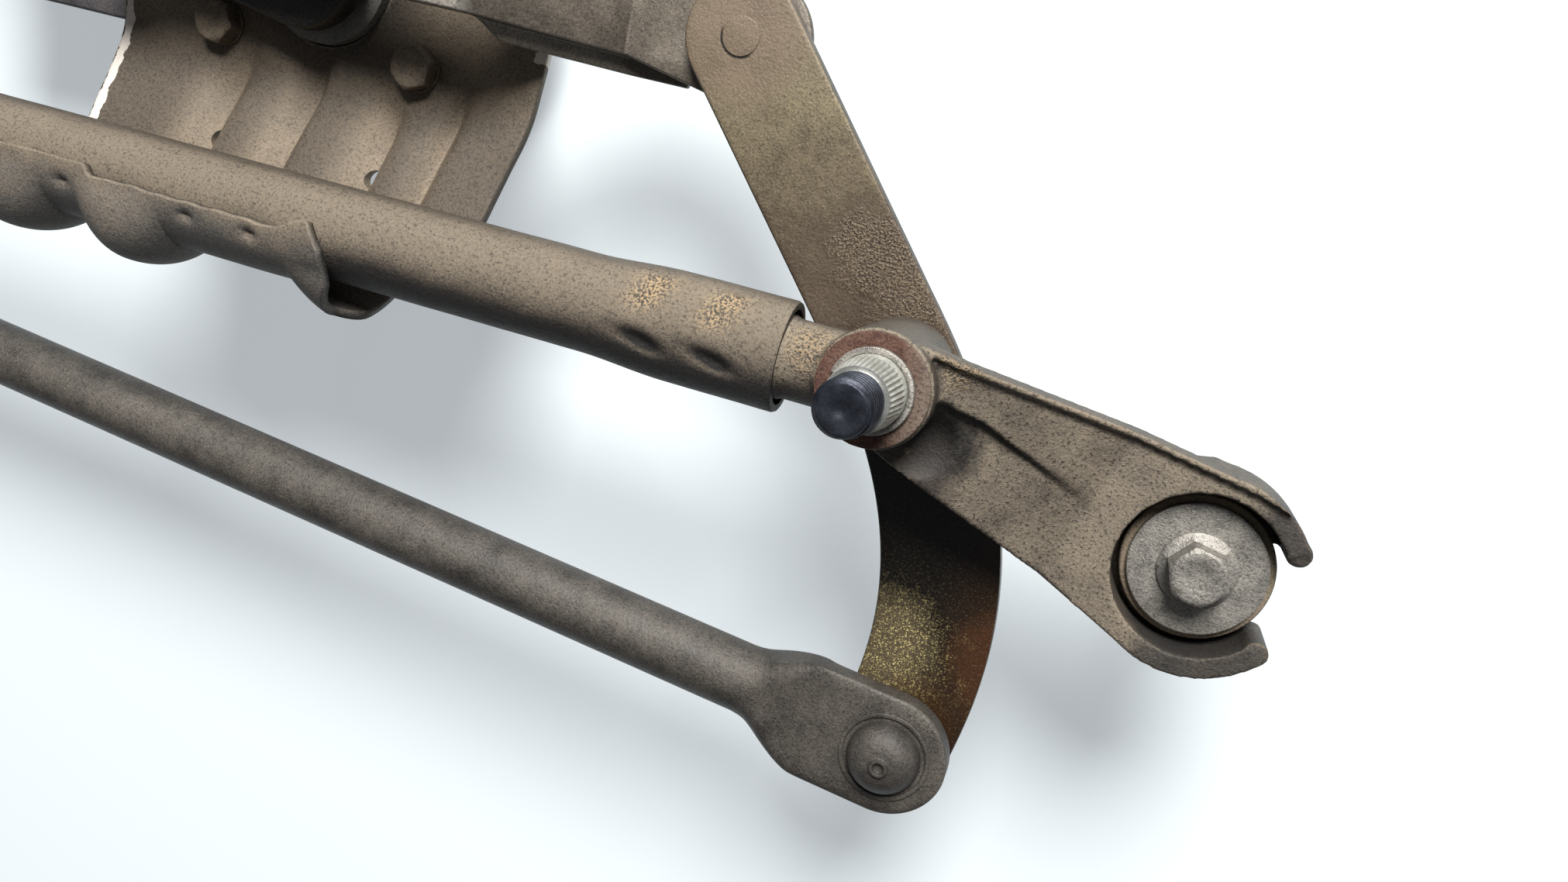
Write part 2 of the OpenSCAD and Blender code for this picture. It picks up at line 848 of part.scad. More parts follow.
// Trumpet-shaped end of the strap
module strap_flare() {
    front_of_tube(9) translate([-strap_right - flare_len, 0, tube_z]) rotate([0, 90, 0])
        rotate_extrude() polygon([
            [wrap_r, -1],
            [wrap_r + sheet_t, -1],
            [wrap_r + sheet_t, 0],
            [wrap_r + sheet_t + flare, flare_len],
            [wrap_r + flare, flare_len],
            [wrap_r, 0]
        ]);
}

module motor_plate() {
    color("#6f6455") difference() {
        union() {
            intersection() {
                along_x(-strap_left, 0) sheet_side();
                translate([0, 0, pad_z - 20]) linear_extrude(60) plate_outline();
            }
            // strap round the front of the tube, up to its crest
            along_x(-strap_left, -strap_right - flare_len) translate([0, tube_z]) difference() {
                circle(wrap_r + sheet_t);
                circle(wrap_r);
                translate([0, -40]) square([40, 80]);
            }
            along_x(-plate_left, -plate_right)
                polygon([
                    [-2, under_tube],
                    [1, under_tube],
                    [1, under_tube - sheet_t],
                    [-2, under_tube - sheet_t]
                ]);
            intersection() {
                slope_slice(slope_from, groove_end, 20, 0);
                union() for (x = grooves) groove_bar(x, sheet_t);
            }
            for (x = bulges) strap_bulge(x);
            strap_flare();
        }
        intersection() {
            slope_slice(slope_from + end_wall, groove_end - end_wall, 20, 8);
            union() for (x = grooves) groove_bar(x, 0);
        }
        // motor boss, bolt holes and drain holes
        translate(motor_at) {
            post(pad_z - 30, pad_z + 30, boss_r + 0.5);
            for (a = bolt_angles) rotate([0, 0, a]) translate([bolt_circle_r, 0, 0])
                post(pad_z - 30, pad_z + 30, motor_bolt_r + 0.3);
        }
        translate([0, 0, tube_z]) rod_x(-strap_left - 1, -plate_right + 10, wrap_r);
        for (d = drains) translate(d) post(pad_z - 10, pad_z + 30, drain_r);
        // clinch dimples in the strap
        for (x = dimples) translate([x, 0, tube_z]) rotate([16, 0, 0])
            translate([0, 0, wrap_r + sheet_t + dimple_r - dimple_deep]) sphere(dimple_r);
    }
}

// Drive link: pressed channel with an offset end under the lever
link_eye_r = 13;
crank_eye_r = 12;
wall_from = 12;
wall_end = 14;
flange_to = 50;
flange_chamfer = 6;

// Side view of the link, from the lever's pin at zero to the crank
module link_side(t0, t1) {
    polygon([
        [-20, link_eye_top - t0],
        [ramp_from, link_eye_top - t0],
        [ramp_to, link_top - t0],
        [link_len + 20, link_top - t0],
        [link_len + 20, link_top - t1],
        [ramp_to + 0.6, link_top - t1],
        [ramp_from + 0.6, link_eye_top - t1],
        [-20, link_eye_top - t1]
    ]);
}

module link_slab(t0, t1) {
    intersection() {
        translate([0, 60, 0]) rotate([90, 0, 0]) linear_extrude(120) link_side(t0, t1);
        translate([0, 0, -80]) linear_extrude(100) children();
    }
}

module drive_link() {
    outer = link_w / 2;
    inner = outer - link_t;
    color("#6d675d") translate(drive_pin_at) rotate([0, 0, link_angle]) difference() {
        union() {
            // web with the eye at each end
            link_slab(0, link_t) {
                strip([0, 0], link_eye_r, [ramp_from, 0], outer);
                strip([ramp_from - 1, 0], outer, [link_len, 0], outer);
                circle(link_eye_r);
                translate([link_len, 0]) circle(crank_eye_r);
            }
            // side walls, and a flange on each beside the lever
            for (s = [0, 1]) mirror([0, s, 0]) {
                link_slab(0, link_h)
                    translate([wall_from, inner]) square([link_len - wall_from - wall_end, link_t]);
                link_slab(link_h - link_t, link_h) polygon([
                    [wall_from, inner],
                    [wall_from, outer + link_flange],
                    [flange_to - flange_chamfer, outer + link_flange],
                    [flange_to, inner]
                ]);
            }
        }
        post(link_eye_bottom - 1, link_eye_top + 1, drive_pin_d / 2 + 1.5 + seat_gap);
        translate([link_len, 0, 0]) post(link_bottom - 5, link_top + 5, socket_r + seat_gap);
    }
}

module link_bush() {
    color("#2f2e2c") translate(drive_pin_at) {
        ring(pin_head_z, link_eye_top, drive_pin_d / 2 + 1.5, drive_pin_d / 2 + run_gap);
        ring(pin_head_z, link_eye_bottom, drive_pin_d / 2 + 4, drive_pin_d / 2 + 1.4);
    }
}

// Ball joint at the crank end of the link
crank_ball_z = link_top - 0.5;

module crank_socket() {
    color("#3a3835") translate(crank_pin_at) difference() {
        union() {
            post(link_bottom, link_top, socket_r);
            ring(link_top, link_top + 1, socket_r + 2, socket_r - 1);
            intersection() {
                translate([0, 0, crank_ball_z]) sphere(dome_r);
                post(link_top, link_top + 3 * ball_d, 2 * ball_d);
            }
        }
        translate([0, 0, crank_ball_z]) sphere(ball_d / 2 + seat_gap);
        post(link_bottom - 1, crank_ball_z, stud_neck_r + 1);
    }
}

module crank_ball_stud() {
    color("#9b9b96") translate(crank_pin_at) {
        post(crank_top + move_gap, crank_ball_z, stud_neck_r);
        post(crank_top + move_gap, crank_top + move_gap + 1.2, rivet_d / 2 + 1.5);
        translate([0, 0, crank_ball_z]) sphere(ball_d / 2);
    }
}

// Crank, output shaft and gear
boss_r = 15;
boss_top = pad_z + 2;
motor_bolt_r = 3;
shaft_r = out_shaft_d / 2;
nut_af = 13;
crank_hub_r = 13;
crank_pin_r = 10;

module crank() {
    color("#4c4943") difference() {
        union() {
            translate([0, 0, crank_bottom]) linear_extrude(crank_t) bar(motor_at, crank_hub_r, crank_pin_at, crank_pin_r);
            translate(motor_at) post(boss_top + move_gap, crank_top, crank_hub_r - 3);
        }
        translate(motor_at) post(boss_top - 5, crank_top + 5, shaft_r - 2 + seat_gap);
        translate(crank_pin_at) post(crank_bottom - 1, crank_top + 1, rivet_d / 2);
    }
}

module crank_nut() {
    color("#8a8a86") translate(motor_at) difference() {
        hexagon(crank_top, crank_top + crank_nut_h, nut_af);
        post(crank_top - 1, crank_top + crank_nut_h + 1, shaft_r - 2 + seat_gap);
    }
}

module output_shaft() {
    color("#a3a39e") translate(motor_at) {
        post(case_bottom + 3, boss_top + move_gap, shaft_r);
        post(boss_top, crank_top + crank_nut_h + 0.6, shaft_r - 2);
    }
}

module output_bush() {
    color("#8a7a5c") translate(motor_at)
        ring(case_top - 2, boss_top - 0.5, shaft_r + 2, shaft_r + run_gap);
}

module worm_wheel() {
    tip = wheel_pitch_r + wheel_module;
    root = wheel_pitch_r - 1.2 * wheel_module;
    step = 360 / wheel_teeth;
    color("#d8d2c0") translate([motor_at.x, motor_at.y, worm_z - wheel_h / 2]) difference() {
        linear_extrude(wheel_h) polygon([
            for (i = [0:wheel_teeth - 1], c = [[-0.34, root], [-0.14, tip], [0.14, tip], [0.34, root]])
                c[1] * [cos(step * (i + c[0])), sin(step * (i + c[0]))]
        ]);
        translate([0, 0, -1]) cylinder(h = wheel_h + 2, r = shaft_r + seat_gap);
        // web between rim and boss
        translate([0, 0, wheel_h - 3]) ring(0, 4, wheel_pitch_r - 5, shaft_r + 4);
        translate([0, 0, -1]) ring(0, 4, wheel_pitch_r - 5, shaft_r + 4);
    }
}

// Motor
tunnel_r = worm_r + 6.5;
tunnel_wall = 3;
worm_end = 30;
worm_half = 16;
wheel_room = 2;
can_flange = 6;
boss_pad_r = 7.6;
case_inner_r = wheel_pitch_r + wheel_module + 1.5;

module at_motor_bolts() {
    translate(motor_at) for (a = bolt_angles)
        rotate([0, 0, a]) translate([bolt_circle_r, 0, 0]) children();
}

module gear_housing() {
    color("#7f8280") difference() {
        union() {
            translate(motor_at) post(case_bottom, case_top - 1, case_r);
            translate(motor_at) post(case_top - 1, boss_top, boss_r);
            at_motor_bolts() post(case_bottom + 4, case_top, boss_pad_r);
            // worm tunnel and flange for the can
            translate([0, motor_axis_y, worm_z]) {
                rod_x(can_front, -motor_x + worm_end + 1 + tunnel_wall, tunnel_r);
                rod_x(can_front, can_front + can_flange, can_r);
            }
        }
        // wheel chamber, worm bore and shaft bore
        translate(motor_at) {
            post(case_bottom - 1, worm_z + wheel_h / 2 + wheel_room, case_inner_r);
            post(case_bottom, boss_top + 1, shaft_r + 2 + seat_gap);
        }
        translate([0, motor_axis_y, worm_z]) {
            rod_x(can_front - 1, -motor_x + worm_end + 1, worm_r + 1.5);
            rod_x(can_front - 1, can_front + can_flange / 2, can_r - 2 * can_wall);
        }
        at_motor_bolts()
            post(case_top - motor_bolt_reach - 1.5, case_top + 1, motor_bolt_r + seat_gap);
    }
}

cover_bottom = case_bottom - 2.5;

module gear_cover() {
    color("#3b3d3d") translate(motor_at) {
        post(cover_bottom, case_bottom, case_r);
        ring(cover_bottom - 1.5, cover_bottom, case_r - 8, case_r - 12);
    }
}

module cover_screws() {
    color("#8a8a86") translate(motor_at) for (a = [20:72:308])
        rotate([0, 0, a]) translate([case_r - 4, 0, 0])
            post(cover_bottom - 2, cover_bottom, 2.6);
}

bearing_r = 5;

module motor_can() {
    color("#3f3f44") translate([0, motor_axis_y, worm_z]) difference() {
        rod_x(can_front - can_len, can_front, can_r);
        rod_x(can_front - can_len + can_wall, can_front + 1, can_r - can_wall);
        rod_x(can_front - can_len - 1, can_front, bearing_r);
    }
}

module can_bearing() {
    color("#8a7a5c") translate([can_front - can_len, motor_axis_y, worm_z]) difference() {
        union() {
            rod_x(-5, 0, bearing_r + 4);
            rod_x(0, 6, bearing_r - seat_gap);
        }
        rod_x(-3, 7, armature_r + run_gap);
    }
}

armature_r = 3;
magnet_t = 5;

module motor_magnets() {
    r_out = can_r - can_wall - seat_gap;
    color("#2c2c2e") translate([0, motor_axis_y, worm_z]) intersection() {
        difference() {
            rod_x(can_front - can_len + 18, can_front - 16, r_out);
            rod_x(can_front - can_len, can_front, r_out - magnet_t);
        }
        along_x(can_front - can_len, can_front)
            for (s = [0, 180]) rotate([0, 0, s])
                polygon([[0, 0], [60, 50], [60, -50]]);
    }
}

module armature_shaft() {
    color("#a3a39e") translate([0, motor_axis_y, worm_z]) {
        rod_x(can_front - can_len - 2, -motor_x + worm_end, armature_r);
        rod_x(-motor_x - worm_half, -motor_x + worm_half, worm_r - wheel_module - move_gap);
    }
}

module armature_core() {
    r_core = can_r - can_wall - magnet_t - 1;
    slots = 10;
    color("#5a5550") translate([0, motor_axis_y, worm_z]) difference() {
        rod_x(can_front - can_len + 22, can_front - 20, r_core);
        rod_x(can_front - can_len, can_front, armature_r + seat_gap);
        for (i = [0:slots - 1]) rotate([360 / slots * i, 0, 0]) translate([0, 0, r_core - 3])
            rod_x(can_front - can_len, can_front, 2, $fn = 24);
    }
}

commutator_r = 9;
brush = [6, 8, 6];

module commutator() {
    color("#b0743f") translate([0, motor_axis_y, worm_z]) difference() {
        rod_x(can_front - 14, can_front - 4, commutator_r);
        rod_x(can_front - 15, can_front - 3, armature_r + seat_gap);
    }
}

module brush_plate() {
    color("#4a3b2c") translate([0, motor_axis_y, worm_z]) difference() {
        rod_x(can_front - 4, can_front - 1, can_r - can_wall - seat_gap);
        rod_x(can_front - 5, can_front, armature_r + 2);
    }
}

module carbon_brushes() {
    color("#2a2a2a") translate([0, motor_axis_y, worm_z]) for (s = [-1, 1])
        translate([can_front - 7, s * (commutator_r + brush.y / 2 + 0.6), 0]) cube(brush, center = true);
}

module motor_bolts() {
    color("#5a544b") at_motor_bolts() {
        post(case_top - motor_bolt_reach, pad_z, motor_bolt_r);
        hexagon(pad_z, pad_z + motor_bolt_head, motor_bolt_af);
    }
}

// Plug housing beside the can, its mouth facing away from the gear case
plug_x = can_front - 4;
plug_len = 68;
plug_y = 30;
plug_top = tube_z - 30;
plug_h = 16;
plug_wall = 3.5;
plug_depth = 22;
plug_mouth = 16;

module connector_socket() {
    color("#2f2d33") difference() {
        translate([plug_x - plug_len, plug_y, plug_top - plug_h])
            cube([plug_len, motor_axis_y - can_r + 5 - plug_y, plug_h]);
        translate([0, motor_axis_y, worm_z]) rod_x(plug_x - plug_len - 1, plug_x + 1, can_r + seat_gap);
        translate([plug_x - plug_len - 1, plug_y + plug_wall, plug_top - plug_h + plug_wall])
            cube([plug_depth + 1, plug_mouth, plug_h - 2 * plug_wall]);
    }
}

frame_tube();
right_bracket();
left_bracket();
motor_plate();
right_bush();
left_bush();
right_grommet();
left_grommet();
mount_sleeves();
mount_washers();
mount_bolts();
right_lever();
right_spindle();
right_spindle_washer();
right_spindle_clip();
drive_pin();
right_ball_stud();
tie_rod();
right_rod_socket();
left_rod_socket();
right_rod_cap();
left_rod_cap();
left_lever();
left_spindle_shaft();
left_spindle_washer();
left_spindle_clip();
left_ball_stud();
drive_link();
link_bush();
crank_socket();
crank_ball_stud();
crank();
crank_nut();
output_shaft();
worm_wheel();
output_bush();
gear_housing();
gear_cover();
cover_screws();
motor_can();
can_bearing();
motor_magnets();
brush_plate();
carbon_brushes();
armature_shaft();
armature_core();
commutator();
motor_bolts();
connector_socket();
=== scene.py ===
import math
import bmesh
import bpy
import numpy as np
from mathutils import Matrix, Vector


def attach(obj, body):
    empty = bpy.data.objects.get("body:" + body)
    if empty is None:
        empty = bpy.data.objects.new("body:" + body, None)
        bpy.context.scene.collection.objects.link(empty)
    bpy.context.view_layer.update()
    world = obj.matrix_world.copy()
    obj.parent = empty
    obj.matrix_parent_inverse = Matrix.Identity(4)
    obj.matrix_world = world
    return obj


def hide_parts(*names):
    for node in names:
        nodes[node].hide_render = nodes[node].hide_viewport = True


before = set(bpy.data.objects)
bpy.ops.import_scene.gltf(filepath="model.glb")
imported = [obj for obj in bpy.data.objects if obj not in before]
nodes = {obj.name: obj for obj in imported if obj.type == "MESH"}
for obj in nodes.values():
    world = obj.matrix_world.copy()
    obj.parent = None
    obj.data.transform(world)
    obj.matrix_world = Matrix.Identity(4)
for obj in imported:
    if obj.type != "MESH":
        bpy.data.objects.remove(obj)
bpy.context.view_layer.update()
mm = 0.001
weld = 2e-6


# Point at a distance from the origin, its angle in degrees
def polar(radius, degrees):
    return radius * np.array([math.cos(math.radians(degrees)), math.sin(math.radians(degrees))])


# All lengths below are millimetres in the frame of the right-hand spindle
tubeZ = -22.0
leverTop, leverBottom = -41.0, -45.0
padZ = -42.0
eyeTop = -32.75
rightBall = np.array([17.0, -74.5])
leftSpindle = polar(520, 5) * (-1, 1)
drivePin = polar(71.4, 130.3)
motorAt = np.array([-139.0, 50.0])
boltCircle, boltAngles = 29, (-148, -32, 90)
rightClaw = np.array([62.5, -20.0])
leftClaw = leftSpindle + np.array([-62.5 * math.cos(math.radians(15)), 20.0])


# Colour written as screen values from 0 to 255, turned into scene values
def tint(r, g, b):
    c = np.array([r, g, b]) / 255
    return tuple(np.where(c <= 0.04045, c / 12.92, ((c + 0.055) / 1.055) ** 2.4)) + (1.0,)


# Smooth step: 0 below a, 1 above b, 3t2 - 2t3 between
def ease(x, a, b):
    t = np.clip((x - a) / (b - a), 0, 1)
    return t * t * (3 - 2 * t)


# Plateau: rises smoothly from 0 to 1 between a and b, falls back between c and d
def plateau(x, a, b, c, d):
    return ease(x, a, b) * (1 - ease(x, c, d))


# Bell: 1 at the centre, falling to 0 over each side's own width
def bell(x, centre, left, right):
    w = np.where(x < centre, left, right)
    return np.exp(-((x - centre) / w) ** 2 * 2.2)


# Arch: 1 at the centre, down to 0 at each side's own width, where it ends in a crease
def arch(x, centre, left, right):
    w = np.where(x < centre, left, right)
    return np.clip(1 - ((x - centre) / w) ** 2, 0, 1) ** 0.7


# Triangle wave: 1 at whole turns, 0 half way between them
def triangleWave(turns):
    return np.abs((turns % 1) - 0.5) * 2


# Wavy field: a sum of sines with fixed odd directions, from -1 to 1
def ripple(x, y, wave, seed):
    total = np.zeros(np.broadcast(x, y).shape)
    for i in range(5):
        a = 2.4 * i + seed
        k = 2 * math.pi / (wave * (0.55 + 0.23 * i))
        total = total + np.sin(k * (x * math.cos(a) + y * math.sin(a)) + 1.7 * i * seed)
    return total / 5


# Even angles round a full turn
def roundAngles(steps):
    return np.arange(steps) * 2 * math.pi / steps


# Quads between neighbouring rows and columns of a grid of points
def gridFaces(rows, cols, wrapRows=False, wrapCols=False):
    a, b = np.meshgrid(np.arange(rows if wrapRows else rows - 1),
                       np.arange(cols if wrapCols else cols - 1), indexing="ij")
    c, d = (a + 1) % rows, (b + 1) % cols
    return np.stack([a * cols + b, c * cols + b, c * cols + d, a * cols + d], -1).reshape(-1, 4)


# Profile of radius and height turned about a vertical axis; the radius may also depend on the angle
def turned(radius, height, steps=96, centre=(0, 0)):
    angle = roundAngles(steps)
    radius, height = np.broadcast_arrays(np.asarray(radius, float), np.asarray(height, float))
    if radius.ndim == 1:
        radius = np.repeat(radius[:, None], steps, 1)
        height = np.repeat(height[:, None], steps, 1)
    x, y = centre[0] + radius * np.cos(angle), centre[1] + radius * np.sin(angle)
    return np.stack([x, y, height], -1).reshape(-1, 3), gridFaces(len(radius), steps, False, True).tolist()


# Profile with its corners rounded: each corner becomes a short quadratic arc
def rounded(profile, size, steps=4):
    p = np.asarray(profile, float)
    out = [p[:1]]
    t = np.linspace(0, 1, steps + 1)[:, None]
    for a, b, c in zip(p[:-2], p[1:-1], p[2:]):
        ra, rc = (min(size, 0.45 * np.linalg.norm(q - b)) for q in (a, c))
        s, e = b + (a - b) / np.linalg.norm(a - b) * ra, b + (c - b) / np.linalg.norm(c - b) * rc
        out.append((1 - t) ** 2 * s + 2 * t * (1 - t) * b + t * t * e)
    return np.concatenate(out + [p[-1:]])


# Flat plate from a closed outline: rings that step round the edge, then a cap inside a narrow rim
def plateSolid(outline, top, bottom, edge):
    step = np.roll(outline, -1, 0) - np.roll(outline, 1, 0)
    step /= np.linalg.norm(step, axis=1)[:, None]
    inward = np.stack([-step[:, 1], step[:, 0]], -1)
    turn = np.radians(np.array([0, 22.5, 45, 67.5, 90]))
    across, rise, rim = edge * (1 - np.sin(turn)), edge * (1 - np.cos(turn)), [2.2 * edge]
    inset = np.concatenate([rim, across, across[::-1], rim])
    level = np.concatenate([[bottom], bottom + rise, top - rise[::-1], [top]])
    n = len(outline)
    plan = outline[None] + inset[:, None, None] * inward[None]
    pts = np.concatenate([plan, np.repeat(level[:, None], n, 1)[..., None]], -1)
    faces = gridFaces(len(level), n, False, True).tolist()
    faces.append(list(range(n))[::-1])
    faces.append(list(range((len(level) - 1) * n, len(level) * n)))
    return pts.reshape(-1, 3), faces


# Several (points, faces) shapes put into one
def joined(*shapes):
    pts, faces, base = [], [], 0
    for p, f in shapes:
        pts.append(p)
        faces += [[i + base for i in q] for q in f]
        base += len(p)
    return np.concatenate(pts), faces


# Merge a mesh's double points; then drop its slivers, turn its faces outwards or join its flat faces
def welded(mesh, slivers=False, outwards=False, flat=False):
    bm = bmesh.new()
    bm.from_mesh(mesh)
    bmesh.ops.remove_doubles(bm, verts=bm.verts, dist=weld)
    if slivers:
        bmesh.ops.dissolve_degenerate(bm, edges=bm.edges, dist=weld / 2)
    if outwards:
        bmesh.ops.recalc_face_normals(bm, faces=bm.faces)
    if flat:
        bmesh.ops.dissolve_limit(bm, angle_limit=math.radians(0.6), verts=bm.verts, edges=bm.edges)
    bm.to_mesh(mesh)
    bm.free()


# New object from points in millimetres, merged at its poles and turned to face outwards
def piece(name, shape, body, replaced, finish, attributes=None, sharp=35, closed=True):
    pts, faces = shape
    mesh = bpy.data.meshes.new(name)
    mesh.from_pydata((np.asarray(pts) * mm).tolist(), [], faces)
    for key, values in (attributes or {}).items():
        layer = mesh.attributes.new(key, "FLOAT", "POINT")
        layer.data.foreach_set("value", np.asarray(values, np.float32).ravel())
    welded(mesh, slivers=True, outwards=closed)
    mesh.shade_smooth()
    mesh.set_sharp_from_angle(angle=math.radians(sharp))
    return placed(bpy.data.objects.new(name, mesh), body, replaced, finish)


# Link an object, give it its finish, body and the nodes that it stands for
def placed(obj, body, replaced, finish):
    bpy.context.scene.collection.objects.link(obj)
    obj.data.materials.clear()
    obj.data.materials.append(finish)
    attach(obj, body)
    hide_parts(*replaced)
    return obj


# Merged copy of a CAD node, its flat faces joined up again
def mergedCopy(node, name):
    mesh = nodes[node].data.copy()
    mesh.name = name
    welded(mesh, flat=True)
    mesh.shade_smooth()
    return bpy.data.objects.new(name, mesh)


# A CAD node with every hard edge broken by a small bevel
def softEdged(node, name, body, finish, width):
    obj = placed(mergedCopy(node, name), body, [node], finish)
    bevel = obj.modifiers.new("softEdge", "BEVEL")
    bevel.width, bevel.segments = width * mm, 2
    bevel.limit_method, bevel.angle_limit = "ANGLE", math.radians(32)
    bevel.harden_normals = True
    bevel.use_clamp_overlap = True


# A CAD node as cast metal: rebuilt in small cells and smoothed, so that its edges run round
def castCopy(node, name, body, finish, cell, passes):
    obj = placed(mergedCopy(node, name), body, [node], finish)
    remesh = obj.modifiers.new("cells", "REMESH")
    remesh.mode, remesh.voxel_size = "VOXEL", cell * mm
    remesh.use_smooth_shade = True
    smooth = obj.modifiers.new("cast", "SMOOTH")
    smooth.factor, smooth.iterations = 0.5, passes


# Link a shader value to an input, or write a plain value there
def plug(tree, socket, v):
    if isinstance(v, Value):
        tree.links.new(v.socket, socket)
    else:
        socket.default_value = v


# A shader value: sums and products of it become Math nodes
class Value:
    def __init__(self, tree, socket):
        self.tree, self.socket = tree, socket

    def maths(self, operation, a, b=0.0, clamp=False):
        n = self.tree.nodes.new("ShaderNodeMath")
        n.operation, n.use_clamp = operation, clamp
        for socket, v in zip(n.inputs, (a, b)):
            plug(self.tree, socket, v)
        return Value(self.tree, n.outputs[0])

    def __add__(self, o): return self.maths("ADD", self, o)
    def __radd__(self, o): return self.maths("ADD", o, self)
    def __sub__(self, o): return self.maths("SUBTRACT", self, o)
    def __rsub__(self, o): return self.maths("SUBTRACT", o, self)
    def __mul__(self, o): return self.maths("MULTIPLY", self, o)
    def __rmul__(self, o): return self.maths("MULTIPLY", o, self)
    def __truediv__(self, o): return self.maths("DIVIDE", self, o)
    def clip(self): return self.maths("ADD", self, 0.0, True)
    def larger(self, o): return self.maths("MAXIMUM", self, o)

    # 0 below a, 1 above b
    def span(self, a, b): return self.maths("MULTIPLY", self - a, 1 / (b - a), True)


# One material: node() adds any node, the rest are the layers that these finishes share
class Finish:
    def __init__(self, name):
        self.material = bpy.data.materials.new(name)
        self.material.use_nodes = True
        self.tree = self.material.node_tree
        self.tree.nodes.clear()
        self.where = self.node("ShaderNodeTexCoord", {}, {}, "Object")
        # how far a face looks up and a little towards +Y, where the lamp is: dust settles on such faces, and the
        # tilt towards the lamp makes them partly a painted light, faces turned away partly a painted shade
        self.up = self.node("ShaderNodeVectorMath", {"operation": "DOT_PRODUCT"}, {
            0: self.node("ShaderNodeNewGeometry", {}, {}, "Normal"), 1: (0.1, 0.45, 0.88)}, "Value")

    def node(self, kind, settings, inputs, output=0):
        n = self.tree.nodes.new(kind)
        for key, v in settings.items():
            setattr(n, key, v)
        for key, v in inputs.items():
            plug(self.tree, n.inputs[key], v)
        return Value(self.tree, n.outputs[output]) if len(n.outputs) else None

    # Noise from 0 to 1 whose marks are about size millimetres across
    def noise(self, size, detail=4.0, rough=0.6):
        return self.node("ShaderNodeTexNoise", {"noise_dimensions": "3D"}, {
            "Vector": self.where, "Scale": 1 / (size * mm), "Detail": detail, "Roughness": rough}, "Fac")

    # Distance in millimetres from a point
    def away(self, x, y, z):
        return self.node("ShaderNodeVectorMath", {"operation": "DISTANCE"}, {
            0: self.where, 1: (x * mm, y * mm, z * mm)}, "Value") * 1000

    # Place along one axis in millimetres
    def part(self, axis):
        return self.node("ShaderNodeSeparateXYZ", {}, {"Vector": self.where}, axis) * 1000

    # Value painted on the points of the mesh
    def painted(self, key):
        return self.node("ShaderNodeAttribute", {"attribute_name": key}, {}, "Fac")

    # b laid over a where the mask is 1
    def over(self, a, b, mask):
        n = self.tree.nodes.new("ShaderNodeMix")
        n.data_type, n.clamp_factor = "RGBA", True
        for index, v in ((0, mask), (6, a), (7, b)):
            plug(self.tree, n.inputs[index], v)
        return Value(self.tree, n.outputs[2])

    # Close the material with a Principled shader and one bump
    def close(self, colour, rough, metal, height, depth):
        bump = self.node("ShaderNodeBump", {}, {
            "Height": height, "Strength": 1.0, "Distance": depth * mm}, "Normal")
        shader = self.node("ShaderNodeBsdfPrincipled", {}, {
            "Base Color": colour, "Roughness": rough, "Metallic": metal, "Normal": bump}, "BSDF")
        self.node("ShaderNodeOutputMaterial", {}, {"Surface": shader})
        return self.material
